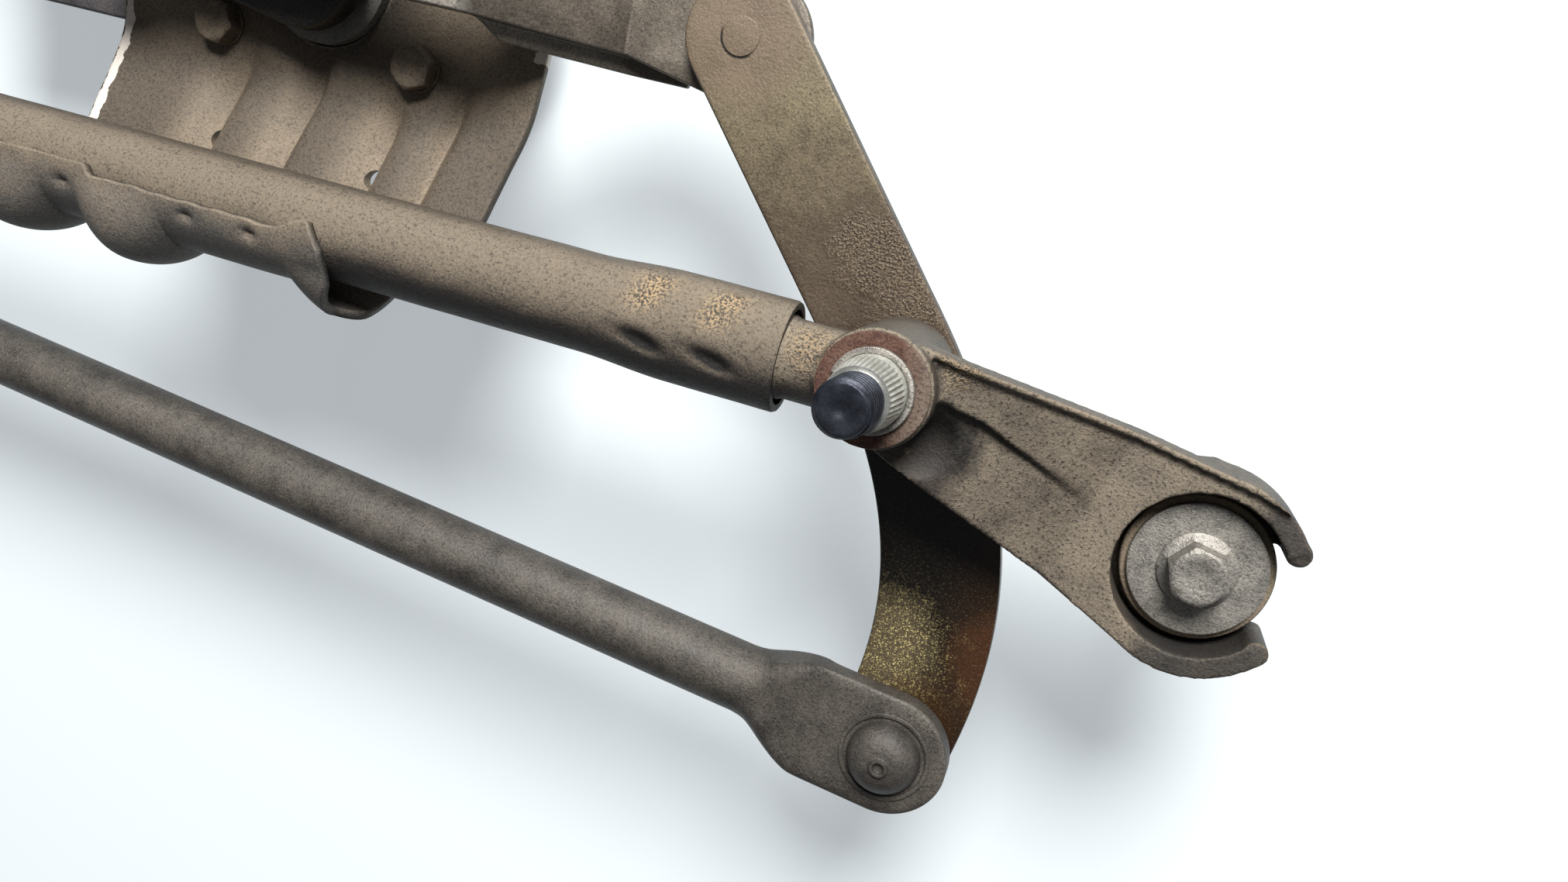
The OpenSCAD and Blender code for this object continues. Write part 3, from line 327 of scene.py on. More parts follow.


# Old metal under road dust, layer over layer: two base tones, zones (some of them painted light and shade)
# and spots of other colours, rust, dust on faces that look up and towards the lamp (partly painted light),
# mottle, dark sand, pale crumbs, heaped grains with painted light and shade, grime with painted shade, painted
# shade with grime on flanks, stains and painted shade, painted shade in hollows with worn and painted-highlit
# edges, a painted shadow crescent beside a rivet, chips, and glitter: dust with painted glints
def dustyMetal(name, s):
    f = Finish(name)
    dark, light, deep, dusty, crumbs, rusty = (
        tint(*s[key]) for key in ("dark", "light", "deep", "dust", "crumbs", "rust"))
    painted = s.get("painted", ())
    broad, fine = f.noise(s["patch"], 5, 0.62), f.noise(s["grain"], 3, 0.65)
    sand, grit = f.noise(0.62, 2, 0.6), f.noise(0.3, 2, 0.6)

    # Round patch with a ragged border: 1 within a share of its reach, 0 beyond its reach
    def patchAt(at, reach, coarse, small, share):
        return (f.away(*at) + (broad - 0.5) * coarse + (fine - 0.5) * small).span(reach, reach * share)

    colour = f.over(dark, light, (broad * 0.7 + fine * 0.3).span(0.33, 0.67))
    for axis, start, end, blur, tone, amount in s.get("zones", ()):
        mask = (f.part(axis) + (broad - 0.5) * blur + (fine - 0.5) * (blur * 0.4)).span(start, end)
        colour = f.over(colour, tint(*tone), mask * amount)
    for at, reach, blur, tone, amount in s.get("spots", ()):
        colour = f.over(colour, tint(*tone), patchAt(at, reach, blur, blur * 0.6, 0.55) * amount)
    rust = f.noise(s["rustSize"], 6, 0.7).span(s["rustFrom"], s["rustFrom"] + 0.1)
    colour = f.over(colour, rusty, rust * 0.75)
    # pale dust on faces that look up and towards the lamp: real dust, and on the lamp side partly a painted light
    settledAndLit = f.up.span(s["dustUp"], 1.0) * s["dustMix"]
    dust = (settledAndLit + (broad - 0.5) * 0.7 + (grit - 0.5) * 0.5).span(0.15, 0.75)
    bare = 0.0
    if "bare" in s:
        bare = (f.part("Y") + (broad - 0.5) * 8).span(*s["bare"])
        dust = dust * (1 - bare)
    colour = f.over(colour, dusty, dust * 0.85)
    mottle = f.noise(0.5, 4, 0.7)
    colour = f.over(colour, deep, mottle.span(0.5, 0.34) * 0.5)
    colour = f.over(colour, dusty, mottle.span(0.54, 0.68) * 0.275)
    colour = f.over(colour, deep, sand.span(0.56, 0.66) * s["grainMix"])
    colour = f.over(colour, crumbs, grit.span(0.6, 0.74) * s.get("paleMix", 0.35) * (dust * 0.7 + 0.3))
    height = broad * 0.35 + fine * 0.4 + sand * 0.45 + grit * 0.25 + rust * 0.3
    heaps = [f.painted("dust")] if "dust" in painted else []
    heaps += [patchAt(at, reach, blur, blur, 0.5) for at, reach, blur in s.get("heaps", ())]
    if heaps:
        # heaped grains: pale tops and dark gaps, grain tones with painted light on the tops and painted shade in
        # the gaps
        heap, grain = heaps[0], f.noise(0.46, 2, 0.55)
        for other in heaps[1:]:
            heap = heap.larger(other)
        colour = f.over(colour, deep, heap * grain.span(0.5, 0.4) * 0.7)
        colour = f.over(colour, crumbs, heap * grain.span(0.47, 0.58) * 0.72)
        height = height + heap * grain * 1.4
    if "grimeAndShade" in painted:
        # grime painted on the mesh, which also carries painted shade in the tube's slots and bore and in the
        # plate's valleys
        sootAndShade = f.painted("grimeAndShade") * (broad + 0.55) * (sand * 0.6 + 0.7)
        colour = f.over(colour, tint(26, 23, 21), sootAndShade.clip())
    if "shadedFlanks" in s:
        # painted shade with grime: cut edges and flanks, turned away from up and from the lamp, are darker than
        # faces that look up
        colour = f.over(colour, deep, f.up.span(0.8, 0.45) * s["shadedFlanks"])
    # patches of another tone: stains, and on the brackets painted shade in the scoop, under the hub and neck and
    # in the jaws
    for at, reach, blur, tone, amount in s.get("stainsAndShade", ()):
        mask = patchAt(at, reach, blur, blur, 0.55) * amount
        colour = f.over(colour, tint(*tone), mask * (sand * 0.5 + 0.75))
    if "hollowShade" in s:
        # how far the surface bends in or out: painted shade in the hollows, and pale edges that are wear with a
        # painted highlight
        bend = f.node("ShaderNodeNewGeometry", {}, {}, "Pointiness")
        colour = f.over(colour, deep, bend.span(0.495, 0.46) * s["hollowShade"])
        colour = f.over(colour, crumbs, bend.span(0.53, 0.58) * 0.3)
    if "ring" in s:
        # painted shadow: a dark crescent along the near side of a rivet
        (atX, atY), radius, width = s["ring"]
        off = f.away(atX, atY, leverTop) - radius
        near = (f.part("X") - atX) * -0.49 + (f.part("Y") - atY) * -0.87
        mask = (1 - off * off / width ** 2).clip()
        colour = f.over(colour, tint(24, 20, 17), mask * near.span(0.4, 2.0))
    if "chips" in s:
        chip = (f.painted("chip") + (f.noise(2.4, 4, 0.6) - 0.5) * 1.5).span(0.55, 0.62)
        colour = f.over(colour, tint(*s["chips"]), chip)
    if "glitter" in s:
        # pale specks in a patch of yellow dust: dust grains with painted glints
        at, reach, shine = s["glitter"]
        mask = patchAt(at, reach, 26, 14, 0.2) * grit.span(0.53, 0.61) * sand.span(0.42, 0.54)
        colour = f.over(colour, tint(*shine), mask)
    rough = (s["rough"] + 0.28 * dust - 0.2 * bare + (fine - 0.5) * 0.25).clip()
    metal = (s["metal"] * (1 - dust) * (1 - rust)).clip()
    return f.close(colour, rough, metal, height, s["bump"])


# Tones are screen values; sizes are millimetres; each finish is one set of layers
crumbTan = (178, 151, 112)
rustBrown = (112, 70, 44)

tubeFinish = dustyMetal("dustyTube", dict(
    dark=(50, 44, 39), light=(70, 62, 54), deep=(32, 28, 24), dust=(122, 110, 94), crumbs=crumbTan,
    rust=rustBrown, patch=15, grain=2.2, grainMix=0.55, rustSize=6, rustFrom=0.72, dustUp=0.55,
    dustMix=0.85, rough=0.55, metal=0.2, bump=0.32, painted=("dust", "grimeAndShade"), shadedFlanks=0.45,
    # lighter towards +Y, dust with painted light; darker towards -Y, dirt with painted shade
    zones=(("Y", 3, 8, 2, (112, 101, 87), 0.7), ("Y", 0, -7, 4, (54, 52, 52), 0.85))))
castFinish = dustyMetal("castBracket", dict(
    dark=(92, 83, 73), light=(128, 117, 102), deep=(38, 33, 29), dust=(140, 127, 107),
    crumbs=(154, 130, 98), rust=(84, 68, 54), patch=10, grain=1.6, grainMix=0.8, rustSize=4, rustFrom=0.76,
    dustUp=0.3, dustMix=0.45, rough=0.58, metal=0.25, bump=0.36, hollowShade=0.9, shadedFlanks=0.55,
    heaps=(((-13, 5, -15), 7, 6), ((13, 8, -17), 6, 6)),
    # painted shade: dark patches in the scoop beside the hub, at the hub's foot, under the neck and inside the
    # claw's jaws
    stainsAndShade=(((13.5, -8, -22.5), 8.5, 2.5, (22, 21, 20), 0.92), ((9, -14, -24), 10, 4, (48, 43, 39), 0.75),
            ((-15, -7, -21), 8, 4, (52, 45, 40), 0.75), ((77, -10, -32), 12, 4, (46, 43, 41), 0.85),
            ((70, -36, -32), 16, 5, (42, 40, 38), 0.85), ((59, -38, -38), 10, 4, (44, 42, 40), 0.8))))
plateFinish = dustyMetal("dustyPlate", dict(
    dark=(90, 80, 67), light=(120, 107, 90), deep=(48, 42, 36), dust=(146, 130, 110),
    crumbs=(170, 150, 122), rust=(112, 78, 50), patch=13, grain=2.0, grainMix=0.45, rustSize=7,
    rustFrom=0.66, dustUp=0.3, dustMix=0.5, rough=0.58, metal=0.2, bump=0.3, painted=("grimeAndShade",),
    chips=(220, 210, 198), zones=(("Y", 3, -3, 3, (92, 90, 87), 0.85),)))
leverFinish = dustyMetal("zincLever", dict(
    dark=(94, 84, 66), light=(124, 112, 86), deep=(46, 40, 31), dust=(142, 129, 102),
    crumbs=(168, 150, 120), rust=(104, 74, 46), patch=14, grain=1.8, grainMix=0.55, rustSize=7,
    rustFrom=0.7, dustUp=0.4, dustMix=0.35, rough=0.48, metal=0.25, bump=0.24, bare=(-6, -14), shadedFlanks=0.9,
    heaps=(((0, 18, -41), 13, 16), ((-13, 20, -41), 9, 14)), ring=(tuple(drivePin), 3.95, 0.32),
    glitter=((11, -57, -41), 17, (218, 200, 134)),
    zones=(("Y", 46, 62, 10, (110, 97, 84), 0.8), ("Y", 44, 14, 12, (68, 53, 42), 0.92),
           # near black under the bracket: grease with the bracket's painted shadow; then rust towards +X
           ("Y", -6, -14, 6, (12, 9, 8), 0.98), ("X", 18, 30, 8, (56, 35, 20), 0.7)),
    spots=(((7, -58, -41), 17, 16, (100, 88, 68), 0.85), ((33, -52, -41), 12, 10, (84, 50, 29), 0.6),
           ((20, -66, -41), 10, 8, (72, 48, 28), 0.5)),
    stainsAndShade=(((-9, 15, -41), 29, 14, (66, 52, 41), 0.6), ((*drivePin, -41), 17, 8, (122, 104, 88), 0.55))))
linkFinish = dustyMetal("pressedLink", dict(
    dark=(78, 71, 63), light=(104, 96, 86), deep=(44, 39, 35), dust=(136, 124, 108), crumbs=(160, 144, 122),
    rust=(100, 76, 54), patch=12, grain=1.8, grainMix=0.5, rustSize=5, rustFrom=0.72, dustUp=0.4,
    # paler top face of the web: grey metal with a painted sheen
    dustMix=0.4, rough=0.42, metal=0.3, bump=0.2, zones=(("Z", -23, -20.6, 0.6, (158, 152, 143), 0.8),)))
greaseFinish = dustyMetal("greasyIron", dict(
    dark=(22, 20, 18), light=(46, 41, 36), deep=(14, 13, 12), dust=(84, 74, 63), crumbs=(120, 106, 88),
    rust=(60, 44, 32), patch=6, grain=1.2, grainMix=0.5, rustSize=4, rustFrom=0.72, dustUp=0.6, dustMix=0.2,
    rough=0.34, metal=0.1, bump=0.4))
rodFinish = dustyMetal("grimyRod", dict(
    dark=(50, 47, 44), light=(82, 77, 71), deep=(27, 26, 24), dust=(108, 101, 91), crumbs=(152, 136, 116),
    rust=(88, 68, 54), patch=9, grain=2.2, grainMix=0.5, rustSize=5, rustFrom=0.74, dustUp=0.4, dustMix=0.4,
    rough=0.5, metal=0.3, bump=0.28, paleMix=0.7, stainsAndShade=(((17, -76, -34), 12, 4, (54, 50, 46), 0.5),)))
zincFinish = dustyMetal("weatheredZinc", dict(
    dark=(130, 126, 119), light=(172, 168, 160), deep=(66, 60, 54), dust=(136, 127, 115),
    crumbs=(160, 148, 130), rust=(112, 86, 62), patch=4, grain=0.6, grainMix=0.5, rustSize=3, rustFrom=0.72,
    dustUp=0.3, dustMix=0.35, rough=0.42, metal=0.65, bump=0.2))
rubberFinish = dustyMetal("dustyRubber", dict(
    dark=(88, 78, 66), light=(122, 109, 93), deep=(52, 46, 40), dust=(150, 134, 112), crumbs=crumbTan,
    rust=(100, 84, 66), patch=6, grain=0.8, grainMix=0.4, rustSize=3, rustFrom=0.75, dustUp=0.1,
    dustMix=0.7, rough=0.8, metal=0.0, bump=0.35))
washerFinish = dustyMetal("rustyWasher", dict(
    dark=(66, 40, 31), light=(98, 60, 45), deep=(34, 24, 20), dust=(128, 112, 96), crumbs=(166, 146, 122),
    rust=(104, 56, 38), patch=4, grain=0.9, grainMix=0.5, rustSize=3, rustFrom=0.62, dustUp=0.3,
    dustMix=0.25, rough=0.75, metal=0.1, bump=0.3, zones=(("X", 3, 9, 5, (112, 100, 88), 0.75),)))
steelFinish = dustyMetal("bareSteel", dict(
    dark=(150, 149, 142), light=(188, 188, 180), deep=(96, 93, 86), dust=(170, 163, 150),
    crumbs=(180, 170, 152), rust=(130, 110, 88), patch=3, grain=0.5, grainMix=0.4, rustSize=2,
    rustFrom=0.74, dustUp=0.5, dustMix=0.2, rough=0.4, metal=0.75, bump=0.12))
darkSteelFinish = dustyMetal("darkSteel", dict(
    dark=(58, 58, 62), light=(84, 83, 84), deep=(36, 35, 36), dust=(104, 98, 90), crumbs=(130, 120, 106),
    rust=(92, 62, 44), patch=5, grain=0.6, grainMix=0.5, rustSize=4, rustFrom=0.7, dustUp=0.4, dustMix=0.35,
    rough=0.45, metal=0.5, bump=0.2))
boltFinish = dustyMetal("dirtyBolt", dict(
    dark=(84, 75, 64), light=(116, 103, 87), deep=(46, 40, 35), dust=(134, 119, 100),
    crumbs=(160, 142, 116), rust=(104, 76, 52), patch=5, grain=1.2, grainMix=0.5, rustSize=4, rustFrom=0.7,
    dustUp=0.2, dustMix=0.5, rough=0.6, metal=0.2, bump=0.25))
darkPlasticFinish = dustyMetal("darkPlastic", dict(
    dark=(44, 42, 46), light=(62, 59, 63), deep=(28, 27, 30), dust=(108, 101, 96), crumbs=(132, 122, 110),
    rust=(70, 62, 56), patch=10, grain=0.7, grainMix=0.5, rustSize=5, rustFrom=0.78, dustUp=0.3,
    dustMix=0.35, rough=0.55, metal=0.0, bump=0.15))
bronzeFinish = dustyMetal("sinteredBronze", dict(
    dark=(116, 96, 62), light=(150, 126, 84), deep=(70, 58, 40), dust=(130, 116, 94),
    crumbs=(150, 134, 108), rust=(96, 80, 50), patch=4, grain=0.5, grainMix=0.6, rustSize=2, rustFrom=0.72,
    dustUp=0.5, dustMix=0.2, rough=0.5, metal=0.7, bump=0.12))
alloyFinish = dustyMetal("castAlloy", dict(
    dark=(108, 108, 104), light=(140, 140, 135), deep=(74, 72, 68), dust=(128, 120, 108),
    crumbs=(156, 144, 126), rust=(104, 96, 84), patch=10, grain=0.9, grainMix=0.5, rustSize=5,
    rustFrom=0.75, dustUp=0.3, dustMix=0.45, rough=0.55, metal=0.5, bump=0.35))
gearFinish = dustyMetal("gearNylon", dict(
    dark=(196, 186, 162), light=(222, 214, 194), deep=(160, 146, 118), dust=(190, 178, 150),
    crumbs=(170, 154, 120), rust=(150, 126, 88), patch=6, grain=0.8, grainMix=0.3, rustSize=4,
    rustFrom=0.75, dustUp=0.5, dustMix=0.2, rough=0.45, metal=0.0, bump=0.1))
copperFinish = dustyMetal("copperBars", dict(
    dark=(150, 96, 60), light=(186, 122, 78), deep=(96, 60, 40), dust=(140, 112, 88), crumbs=(150, 124, 96),
    rust=(110, 74, 50), patch=4, grain=0.5, grainMix=0.4, rustSize=2, rustFrom=0.75, dustUp=0.6,
    dustMix=0.1, rough=0.35, metal=0.85, bump=0.1))
print("finishes made")

# Frame tube: rings along X, lowered by dents, slots and rounded lips, and squashed flat at both ends
tube = dict(left=-470.0, right=-18.0, radius=9.5, wall=1.5, around=168, lip=0.5, lipDepth=0.25,
            fineLeft=-425, fineRight=-66, innerX=(-30, -45, -60, -200, -420, -450),
            wide=1.0, low=0.7, squashRight=(-58.0, -40.0), squashLeft=(430, 446),
            marks=(-30.0, -44.0, -458.0, -444.0),
            dentAt=48.0, dentLean=0.05, dentLong=3.4, dentRound=27, dentDepth=0.8,
            slotAt=106.0, slotLean=1.1, slotLong=(8, 5), slotRound=9, slotDepth=0.72,
            wave=(17, 1.3), waveDepth=0.05)


# Rings of points about the tube's axis: where it is squashed, wider in Y and lower in Z
def tubeRings(s, x, angle, radius):
    squash = ease(x, *s["squashRight"]) + ease(-x, *s["squashLeft"])
    y, z = (radius + s["wide"] * squash) * np.cos(angle), (radius - s["low"] * squash) * np.sin(angle)
    return np.stack([x, y, tubeZ + z], -1)


# Outer rings from left to right, then the inner ones back, with the grime and painted shade in the
# slots, painted shade in the bore, and the dust in the dents
def tubeShape(s):
    lipLeft, lipRight = s["left"] + s["lip"], s["right"] - s["lip"]
    x = np.concatenate([
        np.linspace(s["left"], lipLeft, 4)[:-1], np.linspace(lipLeft, s["fineLeft"], 120)[:-1],
        np.linspace(s["fineLeft"], s["fineRight"], 100)[:-1], np.linspace(s["fineRight"], lipRight, 130),
        [s["right"] - 0.2, s["right"]]])
    # the points of a ring lie closest where the marks are
    even = roundAngles(s["around"])
    ring = even - 0.5 * np.sin(even - math.radians(82))
    xs, angle = np.meshgrid(x, ring, indexing="ij")
    deg = np.degrees(angle)
    dent, slot = np.zeros_like(xs), np.zeros_like(xs)
    for at in s["marks"]:
        along = xs - at - s["dentLean"] * (s["dentAt"] - deg)
        dent += np.exp(-(along / s["dentLong"]) ** 2) * np.exp(-((deg - s["dentAt"]) / s["dentRound"]) ** 4)
        across = deg - s["slotAt"] - s["slotLean"] * (xs - at)
        slot += bell(xs, at + 1, *s["slotLong"]) * np.exp(-(across / s["slotRound"]) ** 2)
    lip = s["lipDepth"] * (ease(xs, lipRight, s["right"]) + ease(-xs, -lipLeft, -s["left"]))
    wave = s["waveDepth"] * ripple(xs, angle * s["radius"], *s["wave"])
    radius = s["radius"] - s["dentDepth"] * dent - s["slotDepth"] * slot - lip + wave
    inside = np.array([s["right"], lipRight, *s["innerX"], lipLeft, s["left"]])
    xi, angleIn = np.meshgrid(inside, ring, indexing="ij")
    pts = np.concatenate([tubeRings(s, xs, angle, radius), tubeRings(s, xi, angleIn, s["radius"] - s["wall"])])
    # dark in the slots, grime with painted shade; all through the bore, painted shade
    grimeAndShade = np.concatenate([np.clip(slot * 2.4 - 0.5, 0, 1), 0.8 * np.ones_like(xi)])
    dust = np.concatenate([np.clip(dent * 1.1, 0, 1), np.zeros_like(xi)])
    return (pts.reshape(-1, 3), gridFaces(len(pts), s["around"], True, True).tolist()), grimeAndShade, dust


shape, grimeAndShade, dust = tubeShape(tube)
piece("frameTube", shape, "frame", ["frame_tube"], tubeFinish, {"grimeAndShade": grimeAndShade, "dust": dust})
print("frame tube made")

# Motor plate: one sheet from the crest of the tube round its front and under it, then up the slope to
# the motor
plate = dict(sheet=2.0, gap=0.02, slopeFrom=6.0, slopeTo=28.0, padEnd=87.0, padR=37.0, cols=200,
             overCrest=0.35, arcRows=84, bendR=5.0, rowStep=0.7,
             leftEdge=[(0, -205), (22, -205), (30, -190), (36, -188.3), (52, -189), (80, -191.5), (89, -189)],
             rightEdge=[(0, -113.8), (4.1, -110.6), (9.7, -110.2), (14, -112.4), (16.5, -112.6),
                        (18.5, -109.6), (20.2, -107.6), (22, -104.9), (28, -97), (34, -91), (42, -89.4),
                        (54, -88.6), (66, -87.4), (78, -86.2)],
             padLeft=(36, -191), padRight=(44, -86.2), padWide=(54, 36.8),
             creepLeft=(-167, -165), creepLeftH=1.9, creepRight=(-121, -114.5), creepRightH=2.6,
             creepWave=(9, 0.7), creepWaveH=0.35, creepReach=9, underSpan=(-5, 8), slopeFade=(24, 37),
             barrels=((-190, 11.4, 11.4), (-159.4, 9.3, 10.8)), barrelH=5.6, barrelRise=(0.5, 13),
             curl=(-107, 12.6, 22), curlH=6.2, curlSpan=(6, 17, 19, 25),
             grooves=((-159.5, 9, 4.4, 4.2), (-140.4, 9, 3.8, 4.2), (-119.2, 9, 3.8, 4.2),
                      (-105.8, 5, 3.4, 3.2)),
             grooveLean=0.1, grooveMid=10, boltFlat=120, wave=(23, 2.1), waveH=0.14, waveRise=(3, 12),
             dimples=(-172, -141.5, -126.5), dimple=(1.7, 2.9, 1.1), dimpleH=1.1, dimpleGrime=(1.4, 3.1, 0.8),
             grease=19, cornerChip=(-87, 42.5), holes=((-158.5, 10.2), (-119, 10.2)), holeR=2.0,
             shaftHoleR=15.5, cut=(-20, -60))


# Rows along the sheet's bent path, columns from its left to its right edge; bulges, grooves and
# dimples lift the sheet along its outward direction. Grime with painted shade between the ridges, and chips, come
# as values per point
def plateShape(s):
    r = tube["radius"] + s["gap"] + s["sheet"] / 2
    low, padMid, half = tubeZ - r, padZ - s["sheet"] / 2, math.pi * r
    corner = np.array([[0, low], [s["slopeFrom"], low], [s["slopeTo"], padMid], [s["padEnd"] - s["gap"], padMid]])
    turn = np.linspace(-s["overCrest"], math.pi, s["arcRows"])
    arc = np.stack([-r * np.sin(turn), tubeZ + r * np.cos(turn)], -1)
    soft = rounded(corner, s["bendR"], 8)
    legs = [np.linspace(a, b, max(2, int(np.linalg.norm(b - a) / s["rowStep"])))[1:]
            for a, b in zip(soft[:-1], soft[1:])]
    path = np.concatenate([arc] + legs)
    steps = np.linalg.norm(np.diff(path, axis=0), axis=1)
    run = np.concatenate([[0], np.cumsum(steps)]) - s["overCrest"] * r
    ahead = np.gradient(path, run, axis=0)
    out = np.stack([ahead[:, 1], -ahead[:, 0]], -1) / np.linalg.norm(ahead, axis=1)[:, None]
    rows = run[run >= 0]
    y = np.interp(rows, run, path[:, 0])
    left = np.interp(rows, *np.array(s["leftEdge"], float).T)
    right = np.interp(rows, *np.array(s["rightEdge"], float).T)
    # the pad widens, then follows a circle round the motor
    (leftY, leftX), (rightY, rightX), (wideY, wideX) = s["padLeft"], s["padRight"], s["padWide"]
    chord = np.sqrt(np.maximum(s["padR"] ** 2 - (y - motorAt[1]) ** 2, 0))
    onPad = rows > half + 2
    left = np.where(onPad & (y > leftY), np.interp(y, [leftY, wideY], [leftX, motorAt[0] - wideX]), left)
    right = np.where(onPad & (y > rightY), np.interp(y, [rightY, wideY], [rightX, motorAt[0] + wideX]), right)
    left = np.where(onPad & (y > wideY), motorAt[0] - chord, left)
    right = np.where(onPad & (y > wideY), motorAt[0] + chord, right)
    xs = left[:, None] + (right - left)[:, None] * np.linspace(0, 1, s["cols"])[None]
    # the strap's upper edge creeps over the crest at its left part and at its right end
    ts = np.repeat(rows[:, None], s["cols"], 1)
    creep = s["creepLeftH"] * (1 - ease(xs, *s["creepLeft"])) + s["creepRightH"] * ease(xs, *s["creepRight"])
    creep = creep + s["creepWaveH"] * ripple(xs, 0 * xs, *s["creepWave"])
    ts = ts - creep * np.clip(1 - ts / s["creepReach"], 0, 1)
    ys, zs = np.interp(ts, run, path[:, 0]), np.interp(ts, run, path[:, 1])
    outY, outZ = np.interp(ts, run, out[:, 0]), np.interp(ts, run, out[:, 1])
    under = ease(ts, half + s["underSpan"][0], half + s["underSpan"][1])
    onSlope = under * (1 - ease(ys, *s["slopeFade"]))
    lift = np.zeros_like(xs)
    for barrel in s["barrels"]:
        lift = np.maximum(lift, s["barrelH"] * arch(xs, *barrel) * ease(ts, *s["barrelRise"]) * (1 - under))
    lift = np.maximum(lift, s["curlH"] * arch(xs, *s["curl"]) * plateau(ts, *s["curlSpan"]))
    deep = np.zeros_like(xs)
    for at, wideLeft, wideRight, depth in s["grooves"]:
        leaning = xs - s["grooveLean"] * (ys - s["grooveMid"])
        deep = np.maximum(deep, depth * bell(leaning, at, wideLeft, wideRight))
    for angle in boltAngles[:2]:
        boltX, boltY = motorAt + polar(boltCircle, angle)
        square = ((xs - boltX) ** 2 + (ys - boltY) ** 2) / s["boltFlat"]
        deep = deep * (1 - np.exp(-square ** 2) * under)
    lift = lift + deep * onSlope + s["waveH"] * ripple(xs, ts, *s["wave"]) * ease(ts, *s["waveRise"])
    grimeAndShade = np.hypot(xs - motorAt[0] - 2, (ys - motorAt[1] - 2) * 0.9) / s["grease"]
    grimeAndShade = np.clip(1.5 - grimeAndShade, 0, 1) * (ts > half)
    for at in s["dimples"]:
        wide, row, tall = s["dimple"]
        lift = lift - s["dimpleH"] * np.exp(-((xs - at) / wide) ** 2 - ((ts - row) / tall) ** 2)
        wide, row, tall = s["dimpleGrime"]
        grimeAndShade = np.maximum(grimeAndShade, np.exp(-((xs - at) / wide) ** 2 - ((ts - row) / tall) ** 2))
    # darker between the ridges on the slope: dirt with painted shade
    grimeAndShade = np.maximum(grimeAndShade, 0.55 * np.clip(1 - deep / 1.8, 0, 1) * onSlope)
    pts = np.stack([xs, ys + lift * outY, zs + lift * outZ], -1)
    chip = np.exp(-((xs - left[:, None] - 1.2) / 1.5) ** 2) * (ts > half + 3) * (1 - ease(ys, 34, 40))
    cornerX, cornerY = s["cornerChip"]
    chip = np.maximum(chip, 1.1 * np.exp(-(np.hypot(xs - cornerX, ys - cornerY) / 2.2) ** 2))
    return (pts.reshape(-1, 3), gridFaces(len(rows), s["cols"]).tolist()), grimeAndShade, chip


# Hidden round cutters, taken out of an object for good
def drill(obj, centres, radius, top, bottom):
    pts, faces = joined(*[turned([0, radius, radius, 0], [bottom, bottom, top, top], 32, at) for at in centres])
    mesh = bpy.data.meshes.new("cutter")
    mesh.from_pydata((pts * mm).tolist(), [], faces)
    welded(mesh, outwards=True)
    cutter = bpy.data.objects.new("cutter", mesh)
    bpy.context.scene.collection.objects.link(cutter)
    cut = obj.modifiers.new("holes", "BOOLEAN")
    cut.operation, cut.object, cut.solver = "DIFFERENCE", cutter, "EXACT"
    bpy.context.view_layer.update()
    done = bpy.data.meshes.new_from_object(obj.evaluated_get(bpy.context.evaluated_depsgraph_get()))
    obj.modifiers.clear()
    obj.data = done
    bpy.data.objects.remove(cutter)


shape, grimeAndShade, chip = plateShape(plate)
motorPlate = piece("motorPlate", shape, "frame", ["motor_plate"], plateFinish,
                   {"grimeAndShade": grimeAndShade, "chip": chip}, closed=False)
wall = motorPlate.modifiers.new("sheet", "SOLIDIFY")
wall.thickness, wall.offset, wall.use_even_offset = plate["sheet"] * mm, 0.0, True
drill(motorPlate, plate["holes"], plate["holeR"], *plate["cut"])
drill(motorPlate, [motorAt], plate["shaftHoleR"], *plate["cut"])
print("motor plate made")

# Brackets: castings rebuilt in small cells
bracket = dict(cell=0.5, passes=4)
for side in ("right", "left"):
    castCopy(side + "_bracket", side + "Bracket", "frame", castFinish, bracket["cell"],
             bracket["passes"])
print("brackets made")

# Levers: a band of even width along a bent middle line, round at both ends
lever = dict(half=11.6, armHalf=12.0, bend=(26.5, -34.75), edge=0.55, steps=40, easing=30, blend=13)


# Outline of a band: both sides of the line at its half width, and a half circle at each end
def bandOutline(line, half):
    d = np.gradient(line, axis=0)
    d /= np.linalg.norm(d, axis=1)[:, None]
    n = np.stack([-d[:, 1], d[:, 0]], -1)
    t = np.linspace(0, math.pi, 26)[1:-1, None]
    startCap = line[0] + half[0] * (-n[0] * np.cos(t) - d[0] * np.sin(t))
    endCap = line[-1] + half[-1] * (n[-1] * np.cos(t) + d[-1] * np.sin(t))
    near, far = line - half[:, None] * n, line + half[:, None] * n
    return np.concatenate([near, endCap[::-1], far[::-1], startCap[::-1]])


# Middle line and half widths: a quadratic curve from the spindle to the ball, and before it the
# straight drive arm, whose corner at the spindle is eased by averaging neighbours
def leverLine(s, withDrive):
    t = np.linspace(0, 1, s["steps"])[:, None]
    arm = 2 * t * (1 - t) * np.array(s["bend"]) + t * t * rightBall
    if not withDrive:
        return arm, np.full(len(arm), s["armHalf"])
    drive = drivePin * (1 - t[:-1])
    line = np.concatenate([drive, arm])
    for _ in range(s["easing"]):
        line[1:-1] = 0.5 * line[1:-1] + 0.25 * (line[:-2] + line[2:])
    half = np.concatenate([np.full(len(drive), s["half"]), np.full(len(arm), s["armHalf"])])
    return line, np.convolve(np.pad(half, s["blend"] // 2, "edge"), np.ones(s["blend"]) / s["blend"], "valid")


for side, withDrive, at in (("right", True, (0, 0)), ("left", False, leftSpindle)):
    outline = bandOutline(*leverLine(lever, withDrive)) + at
    piece(side + "Lever", plateSolid(outline, leverTop, leverBottom, lever["edge"]), side + "_lever",
          [side + "_lever"], leverFinish, sharp=50)
print("levers made")

